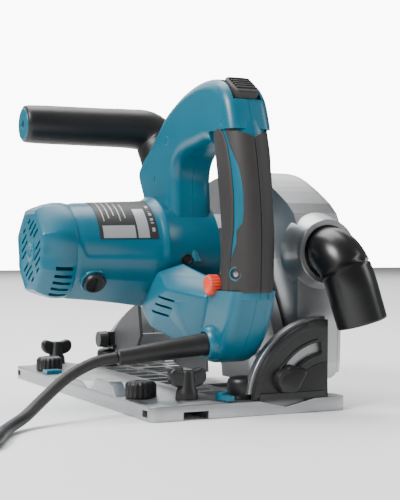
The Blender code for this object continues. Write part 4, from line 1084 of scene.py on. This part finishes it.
# %% Dust nozzle
collar = Vector((71, -149.2, 121))
bend_a = collar + Vector((0, -9, 0))
bend_b = bend_a + Vector((0, -20, -2))
bend_c = bend_b + Vector((0.25, -0.1, -0.95)).normalized() * 28
nozzle_end = bend_c + (bend_c - bend_b).normalized() * 26
centres = [collar, collar + Vector((0, -4.5, 0))]
centres += [bend_a * (1 - t) ** 2 + bend_b * 2 * t * (1 - t) + bend_c * t * t
            for t in (k / 20 for k in range(21))]
centres += [bend_c.lerp(nozzle_end, t) for t in (0.25, 0.5, 0.75, 0.93, 0.97, 1.0)]
outer, inner = [], []
for i, p in enumerate(centres):
    way = centres[min(i + 1, len(centres) - 1)] - centres[max(i - 1, 0)]
    lip = -0.5 if i == len(centres) - 1 else 0.0
    outer.append(ring(p, way, 19.4 + lip, 56))
    inner.append(ring(p, way, 17.2, 56))
nozzle = skin("dust_nozzle_bend", outer + inner[::-1], closed=True)
place(nozzle, GLOSS, "dust_nozzle", 40)
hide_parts("dust_nozzle")
LIP = ((0, 19.0), (0, 20.6), (2.4, 20.6), (2.4, 19.0))
lip_ring = [ring(bend_a + Vector((0, 1 + h, 0)), (0, 1, 0), r, 56) for h, r in LIP]
place(skin("nozzle_shoulder", lip_ring, closed=True), GLOSS, "dust_nozzle", 30)

# %% [markdown]
# ## Floor and light
# A pale floor, a soft key lamp from the left, a rim lamp and a top lamp give the calm light of a catalogue
# picture. The sky is bright where it is seen and dim where it only lights the parts.

# %% Stage
floor_mesh = bpy.data.meshes.new("floor")
floor_mesh.from_pydata([(-6, -6, 0), (6, -6, 0), (6, 6, 0), (-6, 6, 0)], [], [(0, 1, 2, 3)])
floor = bpy.data.objects.new("floor", floor_mesh)
floor.location.z = -0.0002
bpy.context.scene.collection.objects.link(floor)
floor_mat = bpy.data.materials.new("pale_floor")
floor_mat.use_nodes = True
floor_mat.node_tree.nodes["Principled BSDF"].inputs["Base Color"].default_value = (0.95, 0.95, 0.95, 1)
floor_mat.node_tree.nodes["Principled BSDF"].inputs["Roughness"].default_value = 0.6
floor_mesh.materials.append(floor_mat)
world = bpy.data.worlds.new("studio")
bpy.context.scene.world = world
world.use_nodes = True
sky = world.node_tree
backdrop = sky.nodes["Background"]
backdrop.inputs["Color"].default_value = (1, 1, 1, 1)
backdrop.inputs["Strength"].default_value = 10.0
room = sky.nodes.new("ShaderNodeBackground")
room.inputs["Color"].default_value = (0.93, 0.96, 1.0, 1)
room.inputs["Strength"].default_value = 0.22
rays = sky.nodes.new("ShaderNodeLightPath")
choose = sky.nodes.new("ShaderNodeMixShader")
sky.links.new(rays.outputs["Is Camera Ray"], choose.inputs[0])
sky.links.new(room.outputs[0], choose.inputs[1])
sky.links.new(backdrop.outputs[0], choose.inputs[2])
sky.links.new(choose.outputs[0], sky.nodes["World Output"].inputs["Surface"])


def lamp(name, place_at, target, size, power):
    data = bpy.data.lights.new(name, "AREA")
    data.shape = "RECTANGLE"
    data.size, data.size_y = size
    data.energy = power
    obj = bpy.data.objects.new(name, data)
    obj.location = place_at
    obj.rotation_euler = (Vector(target) - Vector(place_at)).to_track_quat("-Z", "Y").to_euler()
    bpy.context.scene.collection.objects.link(obj)


lamp("key", (-1.5, -0.5, 1.5), (0, 0, 0.14), (0.7, 0.6), 56)
lamp("rim", (1.4, -0.9, 0.9), (0, 0, 0.1), (0.4, 1.0), 9)
lamp("top", (0.0, 0.5, 1.7), (0, 0, 0.1), (1.4, 1.0), 30)
lamp("back", (0.7, 2.6, 1.6), (0.8, 2.4, 0), (4.0, 3.0), 90)
